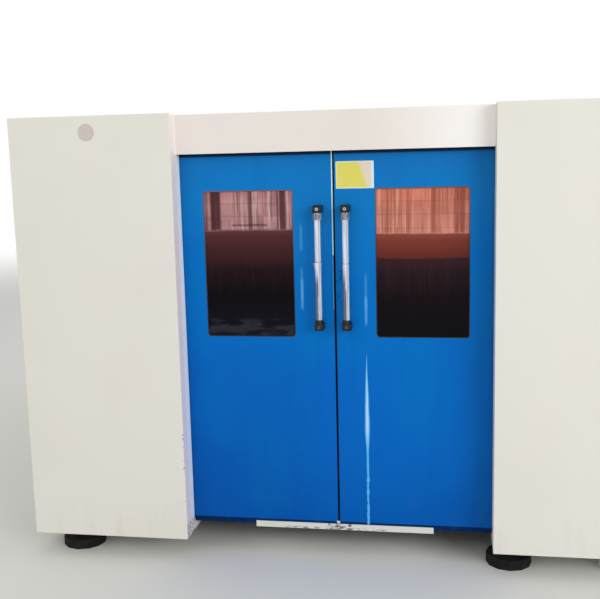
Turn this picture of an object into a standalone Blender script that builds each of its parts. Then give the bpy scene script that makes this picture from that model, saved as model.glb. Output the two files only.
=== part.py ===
"""Fiber laser cutting machine with a full enclosure, modelled piece by piece in metres, +Z up.

The operator's end with its two sliding doors faces -Y, and the origin is on the floor under the middle.
"""
import math

import bmesh
import bpy
from mathutils import Matrix, Vector

# Clearances and sheet
seat = 0.0003                 # gap between two pieces that touch
sheet = 0.002                 # folded cover sheet
bend_radius = 0.003           # outer radius of a fold
weld = 0.001                  # how far two welded shapes run into each other
overrun = 0.01                # how far a cutter passes the piece it cuts

# Overall
machine_width = 2.85
machine_depth = 4.80
machine_height = 2.02
floor_clearance = 0.10        # underside of the covers above the floor

# Front covers and header
cover_width = 0.74
cover_depth = 0.122
header_setback = 0.076
header_height = 0.170
header_drop = 0.006           # header's top below the covers' top
header_lip = 0.020

# Sliding doors
door_setback = 0.128
door_clearance = 0.155        # underside of the doors above the floor
leaf_thickness = 0.040
leaf_rise = 0.026             # door's top above the header's lower edge
leaf_overlap = 0.030          # door's outer edge behind the cover
leaf_edge_radius = 0.002
meeting_gap = 0.008
fin_depth = 0.014             # guide fin under each door
fin_height = 0.018
fin_setback = 0.008
guide_clearance = 0.003
seal_width = 0.005
seal_depth = 0.016
seal_setback = 0.012

# Windows of the doors
window_inset = 0.180          # from the meeting line to the window
window_outer_margin = 0.130   # from the window to the door's outer edge
window_top_margin = 0.189     # from the window to the door's top
window_foot_margin = 0.871    # from the door's underside to the window
window_corner = 0.016
window_rebate = 0.020
window_lip = 0.004
pane_thickness = 0.006

# Handles
handle_diameter = 0.027
handle_standoff = 0.047       # tube's centre in front of the door
handle_drop = 0.069           # pull's top below the window's
handle_length = 0.547
handle_inset = {"left": 0.066, "right": 0.055}
bracket_width = 0.038
bracket_height = 0.031
bracket_nose = 0.019          # bracket's front ahead of the tube's centre
bracket_corner = 0.008

# Door track and hangers
track_rise = 0.060            # rail's centre above the doors
track_beam_height = 0.060
track_beam_depth = 0.040
door_rail_size = 0.020
block_web = 0.012
block_flange = 0.010
block_reach = 0.014
hanger_thickness = 0.006
hanger_length = 0.080
hanger_inset = 0.120
hanger_setback = 0.004

# Lower guides
guide_length = 0.817
guide_centre = 0.019          # guide's middle to the right of the meeting line
guide_height = 0.0285
guide_sheet = 0.003
guide_setback = 0.002
stop_width = 0.014
stop_offset = -0.003
stop_height = 0.046
base_rail_drop = 0.005        # base rail's top below the doors

# Walls and roof
wall_setback = 0.262
wall_thickness = 0.040
doorway_side_lap = 0.030      # how far a cover reaches over the doorway's side
doorway_foot_lap = 0.060      # how far the doors reach over its lower and upper edges
doorway_head_lap = 0.050
panel_thickness = 0.040
panel_seam = 0.003
roof_thickness = 0.030
rear_setback = 0.060

# Rear cabinets
cabinet_width = 0.505
cabinet_depth = 0.460
cabinet_wall = 0.025
cabinet_foot_inset = 0.120
cabinet_door_thickness = 0.020
plate_thickness = 0.003
plate_margin = 0.040
module_depth = 0.120
module_height = 0.210
module_width = 0.090
module_pitch = 0.115
module_rows = 4
module_columns = 3
source_height = 0.620
source_depth = 0.380
source_margin = 0.030

# Pallet slot, gate and its cylinders
slot_side_margin = 0.060      # wall between the slot and a cabinet
slot_sill_drop = 0.090        # slot's lower edge below the pallet's ledges
slot_height = 0.500
gate_thickness = 0.025
gate_lap = 0.030
groove_clearance = 0.001
groove_depth = 0.032
gate_guide_depth = 0.045
gate_guide_drop = 0.100       # guides' feet below the slot
gate_guide_headroom = 0.284   # guides' ends below the roof
cylinder_inset = 0.025        # cylinder's centre inside the slot's side
cylinder_headroom = 0.214     # cylinder's mount below the roof
cylinder_radius = 0.020
cylinder_bore = 0.016
cylinder_end = 0.010
cylinder_length = 0.600
cylinder_gap = 0.032          # cylinder's centre in front of the guides
rod_radius = 0.008
rod_lug_height = 0.040
rod_entry = 0.080
cylinder_mount_height = 0.040
cylinder_mount_rim = 0.0025

# Dust outlet
collar_radius = 0.110
collar_wall = 0.003
collar_flange = 0.025
collar_flange_thickness = 0.006
collar_place = 0.450
collar_height = 0.330

# Bed
bed_end_gap = 0.078           # from the bed's end to the cabinets
bed_foot_height = 0.120
bed_top = 0.920
bed_beam_offset = 0.160       # side beam's centre outside the pallet
bed_foot_half = 0.130
bed_web_half = 0.060
bed_cap_half = 0.110
bed_foot_plate = 0.030
bed_cap_plate = 0.040
ledge_reach = 0.220
ledge_thickness = 0.030
ledge_drop = 0.230            # pallet's ledges below the bed's top
cross_tube_size = 0.110
cross_tube_base = 0.220
cross_tube_place_shares = (0.105, 0.37, 0.50, 0.765, 0.95)
foot_radius = 0.060
enclosure_foot_radius = 0.100
foot_setback = 0.155          # front mounts' centres behind the machine's front
foot_outer_inset = 0.175
foot_inner_inset = 0.075
foot_pad_share = 0.45
foot_neck_share = 0.32
bed_foot_place_shares = (0.05, 0.35, 0.65, 0.95)

# Pallet, combs and slats
pallet_side_clearance = 0.060  # to the slot's side
pallet_front_clearance = 0.168
pallet_back_clearance = 0.572
pallet_tube = 0.050
pallet_tube_height = 0.080
comb_thickness = 0.006
comb_rise = 0.010             # comb's underside above the pallet's
comb_height = 0.090
slat_pitch = 0.125
slat_thickness = 0.004
slat_height = 0.100
slat_seat = 0.045             # depth of a comb's notch
notch_clearance = 0.001
tooth_pitch = 0.075
tooth_height = 0.020

# Slag trays
tray_top_gap = 0.070          # tray's rim below the pallet
tray_side_inset = 0.080       # tray's rim inside the pallet's side
tray_taper = 0.120
tray_gap = 0.040
tray_wall = 0.003

# Gantry
gantry_park = 0.402           # parked gantry's middle before the bed's end
y_rail_width = 0.030
y_rail_height = 0.030
rack_width = 0.025
rack_offset = 0.0875          # rack's centre outside the rail's
carriage_length = 0.400
carriage_lift = 0.035         # carriage's underside above the rail's foot
carriage_inner = 0.100
carriage_outer = 0.050
skirt_width = 0.015           # carriage's skirts beside the rail
skirt_clearance = 0.0075
beam_lift = 0.240             # beam's underside above the bed's top
beam_height = 0.240
beam_depth = 0.240
beam_radius = 0.008
drive_width = 0.090
drive_height = 0.100
drive_lift = 0.030
motor_size = 0.080
motor_height = 0.170
motor_corner = 0.010
x_rail_size = 0.020
x_rail_inset = 0.040
x_rail_overhang = 0.020       # cross rail's end outside the side beam's centre
x_rack_size = 0.018

# Cross carriage, housing and head
plate_half = 0.160
plate_depth = 0.020
plate_standoff = 0.035
plate_bottom_lift = 0.005
plate_top_rise = 0.040
x_block_length = 0.070
x_block_flange = 0.008
x_motor_height = 0.090
x_motor_half = 0.045
x_motor_reach = 0.150
housing_half = 0.080
housing_depth = 0.100
housing_corner = 0.010
z_motor_half = 0.040
z_motor_headroom = 0.239      # lifting motor's top below the roof
z_motor_height = 0.120
slide_half = 0.060
slide_depth = 0.020
slide_length = 0.420
slide_drop = 0.120            # slide's lower end under the housing's
head_radius = 0.036
head_neck = 0.024
head_cone = 0.028
head_length = 0.330
head_drop = 0.050
head_offset = 0.042           # head's axis in front of the slide
nozzle_length = 0.028
nozzle_radius = 0.012
nozzle_tip = 0.003
nozzle_shoulder = 0.014

# Worked out from the sizes above
half_width = machine_width / 2
front = -machine_depth / 2
rear = machine_depth / 2
opening_half = half_width - cover_width
header_top = machine_height - header_drop
header_bottom = header_top - header_height
cover_back = front + cover_depth
leaf_front = front + door_setback
leaf_back = leaf_front + leaf_thickness
leaf_top = header_bottom + leaf_rise
leaf_inner = meeting_gap / 2
leaf_outer = opening_half + leaf_overlap
window_outer = leaf_outer - window_outer_margin
window_foot = door_clearance + window_foot_margin
window_top = leaf_top - window_top_margin
handle_top = window_top - handle_drop
handle_base = handle_top - handle_length
wall_front = front + wall_setback
wall_back = wall_front + wall_thickness
doorway_half = opening_half - doorway_side_lap
doorway_sill = door_clearance + doorway_foot_lap
doorway_head = leaf_top - doorway_head_lap
roof_bottom = header_top - roof_thickness
panel_inner = half_width - panel_thickness
rear_plane = rear - rear_setback
cabinet_inner = half_width - cabinet_width
cabinet_front = rear_plane - cabinet_depth
rear_wall_front = rear_plane - wall_thickness
track_height = leaf_top + track_rise
track_beam_front = wall_front - seat - track_beam_depth
door_rail_front = track_beam_front - seat - door_rail_size
fin_front = leaf_front + fin_setback
slot_half = cabinet_inner - slot_side_margin
pallet_half = slot_half - pallet_side_clearance
bed_beam_centre = pallet_half + bed_beam_offset
x_rail_half = bed_beam_centre + x_rail_overhang
tray_half = pallet_half - tray_side_inset
bed_front = wall_back + seat
bed_back = cabinet_front - bed_end_gap
bed_length = bed_back - bed_front
ledge_top = bed_top - ledge_drop
pallet_front = bed_front + pallet_front_clearance
pallet_back = bed_back - pallet_back_clearance
pallet_length = pallet_back - pallet_front
pallet_bottom = ledge_top + seat
slot_sill = ledge_top - slot_sill_drop
slat_base = pallet_bottom + comb_rise + comb_height - slat_seat - weld
slat_count = int((pallet_length - 2 * pallet_tube) / slat_pitch)
slat_first = (pallet_front + pallet_back - (slat_count - 1) * slat_pitch) / 2
gantry_rest = bed_back - gantry_park
beam_bottom = bed_top + beam_lift
beam_front = gantry_rest - beam_depth / 2
plate_front = beam_front - plate_standoff - plate_depth
plate_bottom = beam_bottom + plate_bottom_lift
housing_top = roof_bottom - z_motor_headroom - z_motor_height
housing_front = plate_front - seat - housing_depth
slide_front = housing_front - seat - slide_depth
head_axis = slide_front - head_offset
guide_front = rear_wall_front - gate_guide_depth
front_foot_line = front + foot_setback
foot_place_outer = half_width - foot_outer_inset
foot_place_inner = opening_half + foot_inner_inset
gate_front = rear_wall_front - gate_guide_depth / 2 - gate_thickness / 2
gate_guide_base = slot_sill - gate_guide_drop
gate_guide_top = roof_bottom - gate_guide_headroom
cylinder_place = slot_half - cylinder_inset
cylinder_line = guide_front - cylinder_gap
cylinder_top = roof_bottom - cylinder_headroom - cylinder_mount_height
cylinder_foot = cylinder_top - cylinder_length
lug_top = slot_sill - gate_lap + rod_lug_height

round_sides = 20
small_sides = 12


def paint(name, colour, roughness, metallic=0.0, alpha=1.0):
    """A Principled material with the piece's own colour and sheen."""
    material = bpy.data.materials.new(name)
    material.use_nodes = True
    shader = material.node_tree.nodes["Principled BSDF"]
    shader.inputs["Base Color"].default_value = (*colour, 1.0)
    shader.inputs["Roughness"].default_value = roughness
    shader.inputs["Metallic"].default_value = metallic
    shader.inputs["Alpha"].default_value = alpha
    material.diffuse_color = (*colour, alpha)
    return material


def carrier(name, at):
    """An empty that stands on a joint and carries the pieces that move with it."""
    empty = bpy.data.objects.new(name, None)
    empty.location = at
    bpy.context.scene.collection.objects.link(empty)
    return empty


def piece(name, mesh, material, at, parent=None):
    """Turn a bmesh drawn in world coordinates into an object with its origin at the world point."""
    bmesh.ops.recalc_face_normals(mesh, faces=mesh.faces)
    bmesh.ops.translate(mesh, verts=mesh.verts, vec=-Vector(at))
    data = bpy.data.meshes.new(name)
    mesh.to_mesh(data)
    mesh.free()
    data.materials.append(material)
    body = bpy.data.objects.new(name, data)
    body.location = at
    bpy.context.scene.collection.objects.link(body)
    if parent:
        body.parent = parent
        body.location = Vector(at) - parent.location
    return body


def add_box(mesh, x, y, z):
    """A box between two values on each axis."""
    centre = Vector((sum(x) / 2, sum(y) / 2, sum(z) / 2))
    size = Vector((x[1] - x[0], y[1] - y[0], z[1] - z[0]))
    place = Matrix.Translation(centre) @ Matrix.Diagonal((*size, 1))
    bmesh.ops.create_cube(mesh, size=1, matrix=place)


def add_skin(mesh, loops):
    """A closed body through loops of equal count, capped at the first and the last."""
    rings = [[mesh.verts.new(point) for point in loop] for loop in loops]
    for below, above in zip(rings, rings[1:]):
        for index in range(len(below)):
            following = (index + 1) % len(below)
            mesh.faces.new((below[index], below[following], above[following], above[index]))
    mesh.faces.new(rings[0][::-1])
    mesh.faces.new(rings[-1])


def add_ring(mesh, outer, inner, spread):
    """A frame between an outer and an inner outline of equal count, from one depth to another."""
    near, far = spread
    loops = [[mesh.verts.new(near(point)) for point in outer],
             [mesh.verts.new(far(point)) for point in outer],
             [mesh.verts.new(far(point)) for point in inner],
             [mesh.verts.new(near(point)) for point in inner]]
    for below, above in zip(loops, loops[1:] + loops[:1]):
        for index in range(len(below)):
            following = (index + 1) % len(below)
            mesh.faces.new((below[index], below[following], above[following], above[index]))


def along_x(x):
    return lambda point: (x, point[0], point[1])


def along_y(y):
    return lambda point: (point[0], y, point[1])


def along_z(z):
    return lambda point: (point[0], point[1], z)


def add_profile(mesh, outline, axis, span):
    """An outline drawn across an axis, extruded from one place on it to another."""
    near, far = axis(span[0]), axis(span[1])
    add_skin(mesh, [[near(point) for point in outline], [far(point) for point in outline]])


def rectangle(x, z):
    return [(x[0], z[0]), (x[1], z[0]), (x[1], z[1]), (x[0], z[1])]


def rounded(x, z, radius, steps=4):
    """A rectangle's outline with round corners."""
    corners = ((x[1] - radius, z[1] - radius, 0), (x[0] + radius, z[1] - radius, 1),
               (x[0] + radius, z[0] + radius, 2), (x[1] - radius, z[0] + radius, 3))
    points = []
    for centre_x, centre_z, quarter in corners:
        for step in range(steps + 1):
            angle = math.radians(90) * (quarter + step / steps)
            points.append((centre_x + radius * math.cos(angle), centre_z + radius * math.sin(angle)))
    return points


def circle(centre, radius, sides):
    angles = [2 * math.pi * step / sides for step in range(sides)]
    return [(centre[0] + radius * math.cos(angle), centre[1] + radius * math.sin(angle)) for angle in angles]


def add_turned(mesh, axis, centre, profile, sides=round_sides):
    """A body turned on an axis from pairs of radius and place along it."""
    add_skin(mesh, [[axis(place)(point) for point in circle(centre, radius, sides)]
                    for radius, place in profile])


def soften(body, width, segments=2):
    bevel = body.modifiers.new("fold", "BEVEL")
    bevel.width = width
    bevel.segments = segments
    bevel.limit_method = "ANGLE"
    bevel.angle_limit = math.radians(60)


def smooth(body):
    """Round pieces are shaded smooth up to their sharp edges."""
    body.data.shade_smooth()
    body.data.set_sharp_from_angle(angle=math.radians(40))


def combine(body, tool_mesh, name, operation):
    """Join a shape drawn in world coordinates to a piece, or take it out."""
    tool = piece(name, tool_mesh, body.data.materials[0], (0, 0, 0))
    tool.display_type = "WIRE"
    tool.hide_render = True
    boolean = body.modifiers.new(name, "BOOLEAN")
    boolean.operation = operation
    boolean.solver = "EXACT"
    boolean.object = tool


def cut(body, tool_mesh, name):
    combine(body, tool_mesh, name, "DIFFERENCE")


def fuse(body, tool_mesh, name):
    combine(body, tool_mesh, name, "UNION")


def box_piece(name, x, y, z, material, parent=None):
    mesh = bmesh.new()
    add_box(mesh, x, y, z)
    return piece(name, mesh, material, (sum(x) / 2, sum(y) / 2, sum(z) / 2), parent)


def mirrored(side, span):
    """A span of x given for the right side, on the side asked for."""
    return tuple(sorted(side * value for value in span))


def turned_out(side, outline):
    """An outline in x and another axis given for the right side, on the side asked for."""
    return [(side * point[0], point[1]) for point in outline]


def front_cover(side, name, white):
    """A folded tray, open towards the machine, that the door slides behind."""
    x = mirrored(side, (opening_half, half_width))
    body = box_piece(name, x, (front, cover_back + overrun), (floor_clearance, machine_height), white)
    soften(body, bend_radius)
    tool = bmesh.new()
    add_box(tool, (x[0] + sheet, x[1] - sheet), (front + sheet, cover_back + overrun / 2),
            (floor_clearance + sheet, machine_height - sheet))
    cut(body, tool, name + "_hollow")
    tool = bmesh.new()
    add_box(tool, (x[0] - overrun, x[1] + overrun), (cover_back, cover_back + 2 * overrun),
            (floor_clearance - overrun, machine_height + overrun))
    cut(body, tool, name + "_rim")


def header_cover(cream):
    """A folded channel across the doorway that hides the door track."""
    face = front + header_setback
    outline = [(face, header_bottom), (face + header_lip, header_bottom),
               (face + header_lip, header_bottom + sheet), (face + sheet, header_bottom + sheet),
               (face + sheet, header_top - sheet), (cover_back, header_top - sheet),
               (cover_back, header_top), (face, header_top)]
    mesh = bmesh.new()
    add_profile(mesh, outline, along_x, (-opening_half + seat, opening_half - seat))
    piece("header_cover", mesh, cream, (0, face, (header_bottom + header_top) / 2))


def front_wall(blue):
    """A cassette wall behind the doors with the doorway through it."""
    outer = rectangle((-panel_inner + seat, panel_inner - seat), (floor_clearance, roof_bottom - seat))
    inner = rectangle((-doorway_half, doorway_half), (doorway_sill, doorway_head))
    mesh = bmesh.new()
    add_ring(mesh, outer, inner, (along_y(wall_front), along_y(wall_back)))
    piece("front_wall", mesh, blue, (0, wall_front, floor_clearance))


def base_rail(side, name, white):
    """The foot rail behind a front cover, with the groove that the door's fin runs in."""
    top = door_clearance - base_rail_drop
    groove = (fin_front - guide_clearance, fin_front + fin_depth + guide_clearance)
    floor = door_clearance - fin_height - guide_clearance
    back = wall_front - seat
    outline = [(cover_back + seat, floor_clearance), (back, floor_clearance), (back, top),
               (groove[1], top), (groove[1], floor), (groove[0], floor), (groove[0], top),
               (cover_back + seat, top)]
    mesh = bmesh.new()
    add_profile(mesh, outline, along_x, mirrored(side, (opening_half, panel_inner - seat)))
    return piece(name, mesh, white, (side * opening_half, leaf_front, floor_clearance))


def sill_guide(white):
    """The short channel under the meeting line that guides both doors, with its stop tab."""
    top = door_clearance - guide_setback
    bottom = top - guide_height
    floor = bottom + guide_sheet
    face = leaf_front + guide_setback
    inner = fin_front + fin_depth + guide_clearance
    back = wall_front - seat
    outline = [(face, bottom), (back, bottom), (back, top), (back - guide_sheet, top),
               (back - guide_sheet, floor), (inner + guide_sheet, floor), (inner + guide_sheet, top),
               (inner, top), (inner, floor), (face + guide_sheet, floor), (face + guide_sheet, top),
               (face, top)]
    mesh = bmesh.new()
    add_profile(mesh, outline, along_x, (guide_centre - guide_length / 2, guide_centre + guide_length / 2))
    guide = piece("sill_guide", mesh, white, (guide_centre, leaf_front, bottom))
    mesh = bmesh.new()
    tab_back = leaf_front - seat
    outline = [(tab_back - guide_sheet, bottom + weld), (face + weld, bottom + weld), (face + weld, floor),
               (tab_back, floor), (tab_back, bottom + stop_height), (tab_back - guide_sheet, bottom + stop_height)]
    add_profile(mesh, outline, along_x, (stop_offset - stop_width / 2, stop_offset + stop_width / 2))
    fuse(guide, mesh, "stop_tab")


def door_track(steel):
    """The beam on the front wall and the rail that both doors hang from."""
    reach = panel_inner - panel_seam
    rise = (track_height - track_beam_height / 2, track_height + track_beam_height / 2)
    box_piece("track_beam", (-reach, reach), (track_beam_front, wall_front - seat), rise, steel)
    rise = (track_height - door_rail_size / 2, track_height + door_rail_size / 2)
    box_piece("door_rail", (-reach, reach), (door_rail_front, track_beam_front - seat), rise, steel)


def door_leaf(side, name, blue, body):
    """A folded door with its guide fin and the stepped window opening."""
    outline = [(leaf_front, door_clearance), (fin_front, door_clearance),
               (fin_front, door_clearance - fin_height), (fin_front + fin_depth, door_clearance - fin_height),
               (fin_front + fin_depth, door_clearance), (leaf_back, door_clearance), (leaf_back, leaf_top),
               (leaf_front, leaf_top)]
    mesh = bmesh.new()
    add_profile(mesh, outline, along_x, mirrored(side, (leaf_inner, leaf_outer)))
    leaf = piece(name + "_panel", mesh, blue, (side * leaf_inner, leaf_front, door_clearance), body)
    soften(leaf, leaf_edge_radius)
    x = mirrored(side, (window_inset, window_outer))
    z = (window_foot, window_top)
    tool = bmesh.new()
    add_profile(tool, rounded(x, z, window_corner), along_y, (leaf_front - overrun, leaf_back + overrun))
    cut(leaf, tool, name + "_sight")
    x = (x[0] - window_rebate, x[1] + window_rebate)
    z = (z[0] - window_rebate, z[1] + window_rebate)
    tool = bmesh.new()
    add_profile(tool, rounded(x, z, window_corner), along_y, (leaf_front + window_lip, leaf_back + overrun))
    cut(leaf, tool, name + "_rebate")


def door_window(side, name, glass, black, body):
    """The filter pane in the door's rebate and the frame that clamps it from inside."""
    x = mirrored(side, (window_inset - window_rebate + seat, window_outer + window_rebate - seat))
    z = (window_foot - window_rebate + seat, window_top + window_rebate - seat)
    pane_front = leaf_front + window_lip + seat
    pane_back = pane_front + pane_thickness
    outer = rounded(x, z, window_corner - seat)
    mesh = bmesh.new()
    add_profile(mesh, outer, along_y, (pane_front, pane_back))
    piece(name + "_window", mesh, glass, (sum(x) / 2, pane_front, sum(z) / 2), body)
    inner = rounded(mirrored(side, (window_inset, window_outer)), (window_foot, window_top), window_corner)
    mesh = bmesh.new()
    add_ring(mesh, outer, inner, (along_y(pane_back + seat), along_y(leaf_back)))
    piece(name + "_window_frame", mesh, black, (sum(x) / 2, pane_back, sum(z) / 2), body)


def door_handle(side, name, chrome, black, body):
    """A round pull between two moulded brackets."""
    x = side * handle_inset[name.split("_")[0]]
    y = leaf_front - handle_standoff
    mesh = bmesh.new()
    radius = handle_diameter / 2
    add_turned(mesh, along_z, (x, y), [(radius, handle_base + bracket_height + seat),
                                       (radius, handle_top - bracket_height - seat)])
    tube = piece(name + "_handle", mesh, chrome, (x, y, handle_base), body)
    smooth(tube)
    half = bracket_width / 2
    nose = y - bracket_nose
    steps = [(x + half, leaf_front - seat), (x + half, nose + bracket_corner)]
    for index in range(1, 4):
        angle = math.radians(30) * index
        steps.append((x + half - bracket_corner * (1 - math.cos(angle)),
                      nose + bracket_corner * (1 - math.sin(angle))))
    outline = steps + [(2 * x - point[0], point[1]) for point in steps[::-1]]
    for label, low in (("_handle_foot", handle_base), ("_handle_head", handle_top - bracket_height)):
        mesh = bmesh.new()
        add_profile(mesh, outline, along_z, (low, low + bracket_height))
        piece(name + label, mesh, black, (x, leaf_front, low), body)


def door_hanger(side, name, steel, body):
    """An angle along the door's top with a slide block near each end that runs on the rail."""
    rail_half = door_rail_size / 2 + seat
    block_half = rail_half + block_flange
    block_front = door_rail_front - seat - block_web
    block_back = door_rail_front + block_reach
    block = [(block_front, track_height - block_half), (block_back, track_height - block_half),
             (block_back, track_height - rail_half), (door_rail_front - seat, track_height - rail_half),
             (door_rail_front - seat, track_height + rail_half), (block_back, track_height + rail_half),
             (block_back, track_height + block_half), (block_front, track_height + block_half)]
    leg = (block_front + weld - hanger_thickness, block_front + weld)
    foot = leaf_top + seat
    toe = leaf_front + hanger_setback
    angle = [(toe, foot), (leg[1], foot), (leg[1], track_height + block_half - weld),
             (leg[0], track_height + block_half - weld), (leg[0], foot + hanger_thickness),
             (toe, foot + hanger_thickness)]
    mesh = bmesh.new()
    span = mirrored(side, (leaf_inner + hanger_inset - hanger_length, leaf_outer - hanger_inset + hanger_length))
    add_profile(mesh, angle, along_x, span)
    hanger = piece(name + "_hanger", mesh, steel, (side * leaf_inner, leaf_back, leaf_top), body)
    mesh = bmesh.new()
    for place in (leaf_inner + hanger_inset, leaf_outer - hanger_inset):
        add_profile(mesh, block, along_x, (side * place - hanger_length / 2, side * place + hanger_length / 2))
    fuse(hanger, mesh, name + "_blocks")


def sliding_door(side, name, finishes):
    """One door with all that slides with it."""
    body = carrier(name + "_carrier", (side * leaf_inner, leaf_front, door_clearance))
    door_leaf(side, name, finishes["door_blue"], body)
    door_window(side, name, finishes["filter_glass"], finishes["black_plastic"], body)
    door_handle(side, name, finishes["bright_tube"], finishes["black_plastic"], body)
    door_hanger(side, name, finishes["steel"], body)
    return body


def meeting_seal(rubber, body):
    """The rubber strip on the right door's edge that closes the meeting gap."""
    box_piece("meeting_seal", (leaf_inner - seat - seal_width, leaf_inner - seat),
              (leaf_front + seal_setback, leaf_front + seal_setback + seal_depth),
              (door_clearance + fin_height, leaf_top - fin_height), rubber, body)


def side_panels(side, name, white):
    """Two wall cassettes on each long side."""
    start = cover_back + seat
    length = (cabinet_front - seat - panel_seam - start) / 2
    x = mirrored(side, (panel_inner, half_width))
    z = (floor_clearance, roof_bottom - seat)
    for place, label in ((start, "_front"), (start + length + panel_seam, "_rear")):
        panel = box_piece(name + label, x, (place, place + length), z, white)
        soften(panel, bend_radius)


def roof_panels(white):
    """Two roof cassettes that lie on the walls."""
    start = cover_back + seat
    length = (rear_plane - panel_seam - start) / 2
    for place, label in ((start, "front"), (start + length + panel_seam, "rear")):
        roof = box_piece("roof_" + label, (-half_width, half_width), (place, place + length),
                         (roof_bottom, header_top), white)
        soften(roof, bend_radius)


def rear_wall(white):
    """The wall between the cabinets with the pallet slot, the gate's guides and the dust outlet."""
    reach = cabinet_inner - seat
    outer = rectangle((-reach, reach), (floor_clearance, roof_bottom - seat))
    inner = rectangle((-slot_half, slot_half), (slot_sill, slot_sill + slot_height))
    mesh = bmesh.new()
    add_ring(mesh, outer, inner, (along_y(rear_wall_front), along_y(rear_plane)))
    wall = piece("rear_wall", mesh, white, (0, rear_wall_front, floor_clearance))
    floor = slot_half + gate_lap + groove_clearance
    lip = floor - groove_depth
    outside = (floor + reach) / 2
    back = rear_wall_front + weld
    groove = (gate_front - groove_clearance, gate_front + gate_thickness + groove_clearance)
    outline = [(lip, guide_front), (outside, guide_front), (outside, back), (lip, back), (lip, groove[1]),
               (floor, groove[1]), (floor, groove[0]), (lip, groove[0])]
    mesh = bmesh.new()
    for side in (-1, 1):
        add_profile(mesh, turned_out(side, outline), along_z,
                    (gate_guide_base, gate_guide_top))
    fuse(wall, mesh, "gate_guides")
    tool = bmesh.new()
    bore = collar_radius - collar_wall
    add_turned(tool, along_y, (collar_place, collar_height),
               [(bore, rear_wall_front - overrun), (bore, rear_plane + overrun)])
    cut(wall, tool, "outlet_hole")


def dust_collar(steel):
    """The flanged collar that an extraction hose is clamped on."""
    bore = collar_radius - collar_wall
    foot = rear_plane + seat
    step = foot + collar_flange_thickness
    rim = collar_radius + collar_flange
    profile = [(rim, foot), (rim, step), (collar_radius, step), (collar_radius, rear), (bore, rear), (bore, foot)]
    mesh = bmesh.new()
    rings = [[mesh.verts.new(along_y(place)(point))
              for point in circle((collar_place, collar_height), radius, round_sides)]
             for radius, place in profile]
    for below, above in zip(rings, rings[1:] + rings[:1]):
        for index in range(round_sides):
            following = (index + 1) % round_sides
            mesh.faces.new((below[index], below[following], above[following], above[index]))
    collar = piece("dust_collar", mesh, steel, (collar_place, rear_plane, collar_height))
    smooth(collar)


def rear_cabinet(side, name, white):
    """A cabinet that forms the enclosure's rear corner, open to the rear."""
    x = mirrored(side, (cabinet_inner, half_width))
    back = rear_plane - cabinet_door_thickness - seat
    z = (floor_clearance, roof_bottom - seat)
    body = box_piece(name, x, (cabinet_front, back), z, white)
    tool = bmesh.new()
    add_box(tool, (x[0] + cabinet_wall, x[1] - cabinet_wall), (cabinet_front + cabinet_wall, back + overrun),
            (z[0] + cabinet_wall, z[1] - cabinet_wall))
    cut(body, tool, name + "_room")
    mesh = bmesh.new()
    for place in (x[0] + cabinet_foot_inset, x[1] - cabinet_foot_inset):
        add_foot(mesh, place, (cabinet_front + back) / 2, floor_clearance + weld, foot_radius)
    fuse(body, mesh, name + "_feet")


def cabinet_door(side, name, white):
    """A flush door hinged on the cabinet's outer edge."""
    x = mirrored(side, (cabinet_inner + panel_seam, half_width))
    body = carrier(name + "_carrier", (side * half_width, rear_plane, floor_clearance))
    door = box_piece(name, x, (rear_plane - cabinet_door_thickness, rear_plane),
                     (floor_clearance, roof_bottom - panel_seam), white, body)
    soften(door, bend_radius)


def drive_modules(side, steel):
    """The mounting plate in the electrical cabinet with its rows of drives."""
    inner = mirrored(side, (cabinet_inner + cabinet_wall, half_width - cabinet_wall))
    x = (inner[0] + plate_margin, inner[1] - plate_margin)
    back = cabinet_front + cabinet_wall + seat + plate_thickness
    mesh = bmesh.new()
    base = floor_clearance + cabinet_wall + plate_margin
    top = roof_bottom - cabinet_wall - plate_margin
    add_box(mesh, x, (back - plate_thickness, back), (base, top))
    plate = piece("drive_modules", mesh, steel, (sum(x) / 2, back, base))
    mesh = bmesh.new()
    row_pitch = (top - base) / module_rows
    for row in range(module_rows):
        low = base + row_pitch * row + (row_pitch - module_height) / 2
        for column in range(module_columns):
            middle = sum(x) / 2 + (column - (module_columns - 1) / 2) * module_pitch
            add_box(mesh, (middle - module_width / 2, middle + module_width / 2),
                    (back - weld, back + module_depth), (low, low + module_height))
    fuse(plate, mesh, "drive_boxes")


def laser_source(side, steel):
    """The laser source standing on the other cabinet's floor."""
    x = mirrored(side, (cabinet_inner + cabinet_wall + source_margin, half_width - cabinet_wall - source_margin))
    base = floor_clearance + cabinet_wall + seat
    start = cabinet_front + cabinet_wall + source_margin
    source = box_piece("laser_source", x, (start, start + source_depth), (base, base + source_height), steel)
    soften(source, bend_radius)


def rear_gate(white):
    """The lifting gate inside the pallet slot, with the rods that raise it."""
    body = carrier("rear_gate_carrier", (0, gate_front, slot_sill))
    half = slot_half + gate_lap
    gate = box_piece("rear_gate", (-half, half), (gate_front, gate_front + gate_thickness),
                     (slot_sill - gate_lap, slot_sill + slot_height + gate_lap), white, body)
    lugs = bmesh.new()
    rods = bmesh.new()
    for side in (-1, 1):
        middle = side * cylinder_place
        add_box(lugs, (middle - cylinder_radius, middle + cylinder_radius),
                (cylinder_line - cylinder_radius, gate_front + weld), (slot_sill - gate_lap, lug_top))
        add_turned(rods, along_z, (middle, cylinder_line),
                   [(rod_radius, lug_top - weld), (rod_radius, cylinder_foot + rod_entry)], small_sides)
    fuse(gate, lugs, "rod_lugs")
    fuse(gate, rods, "gate_rods")


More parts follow.
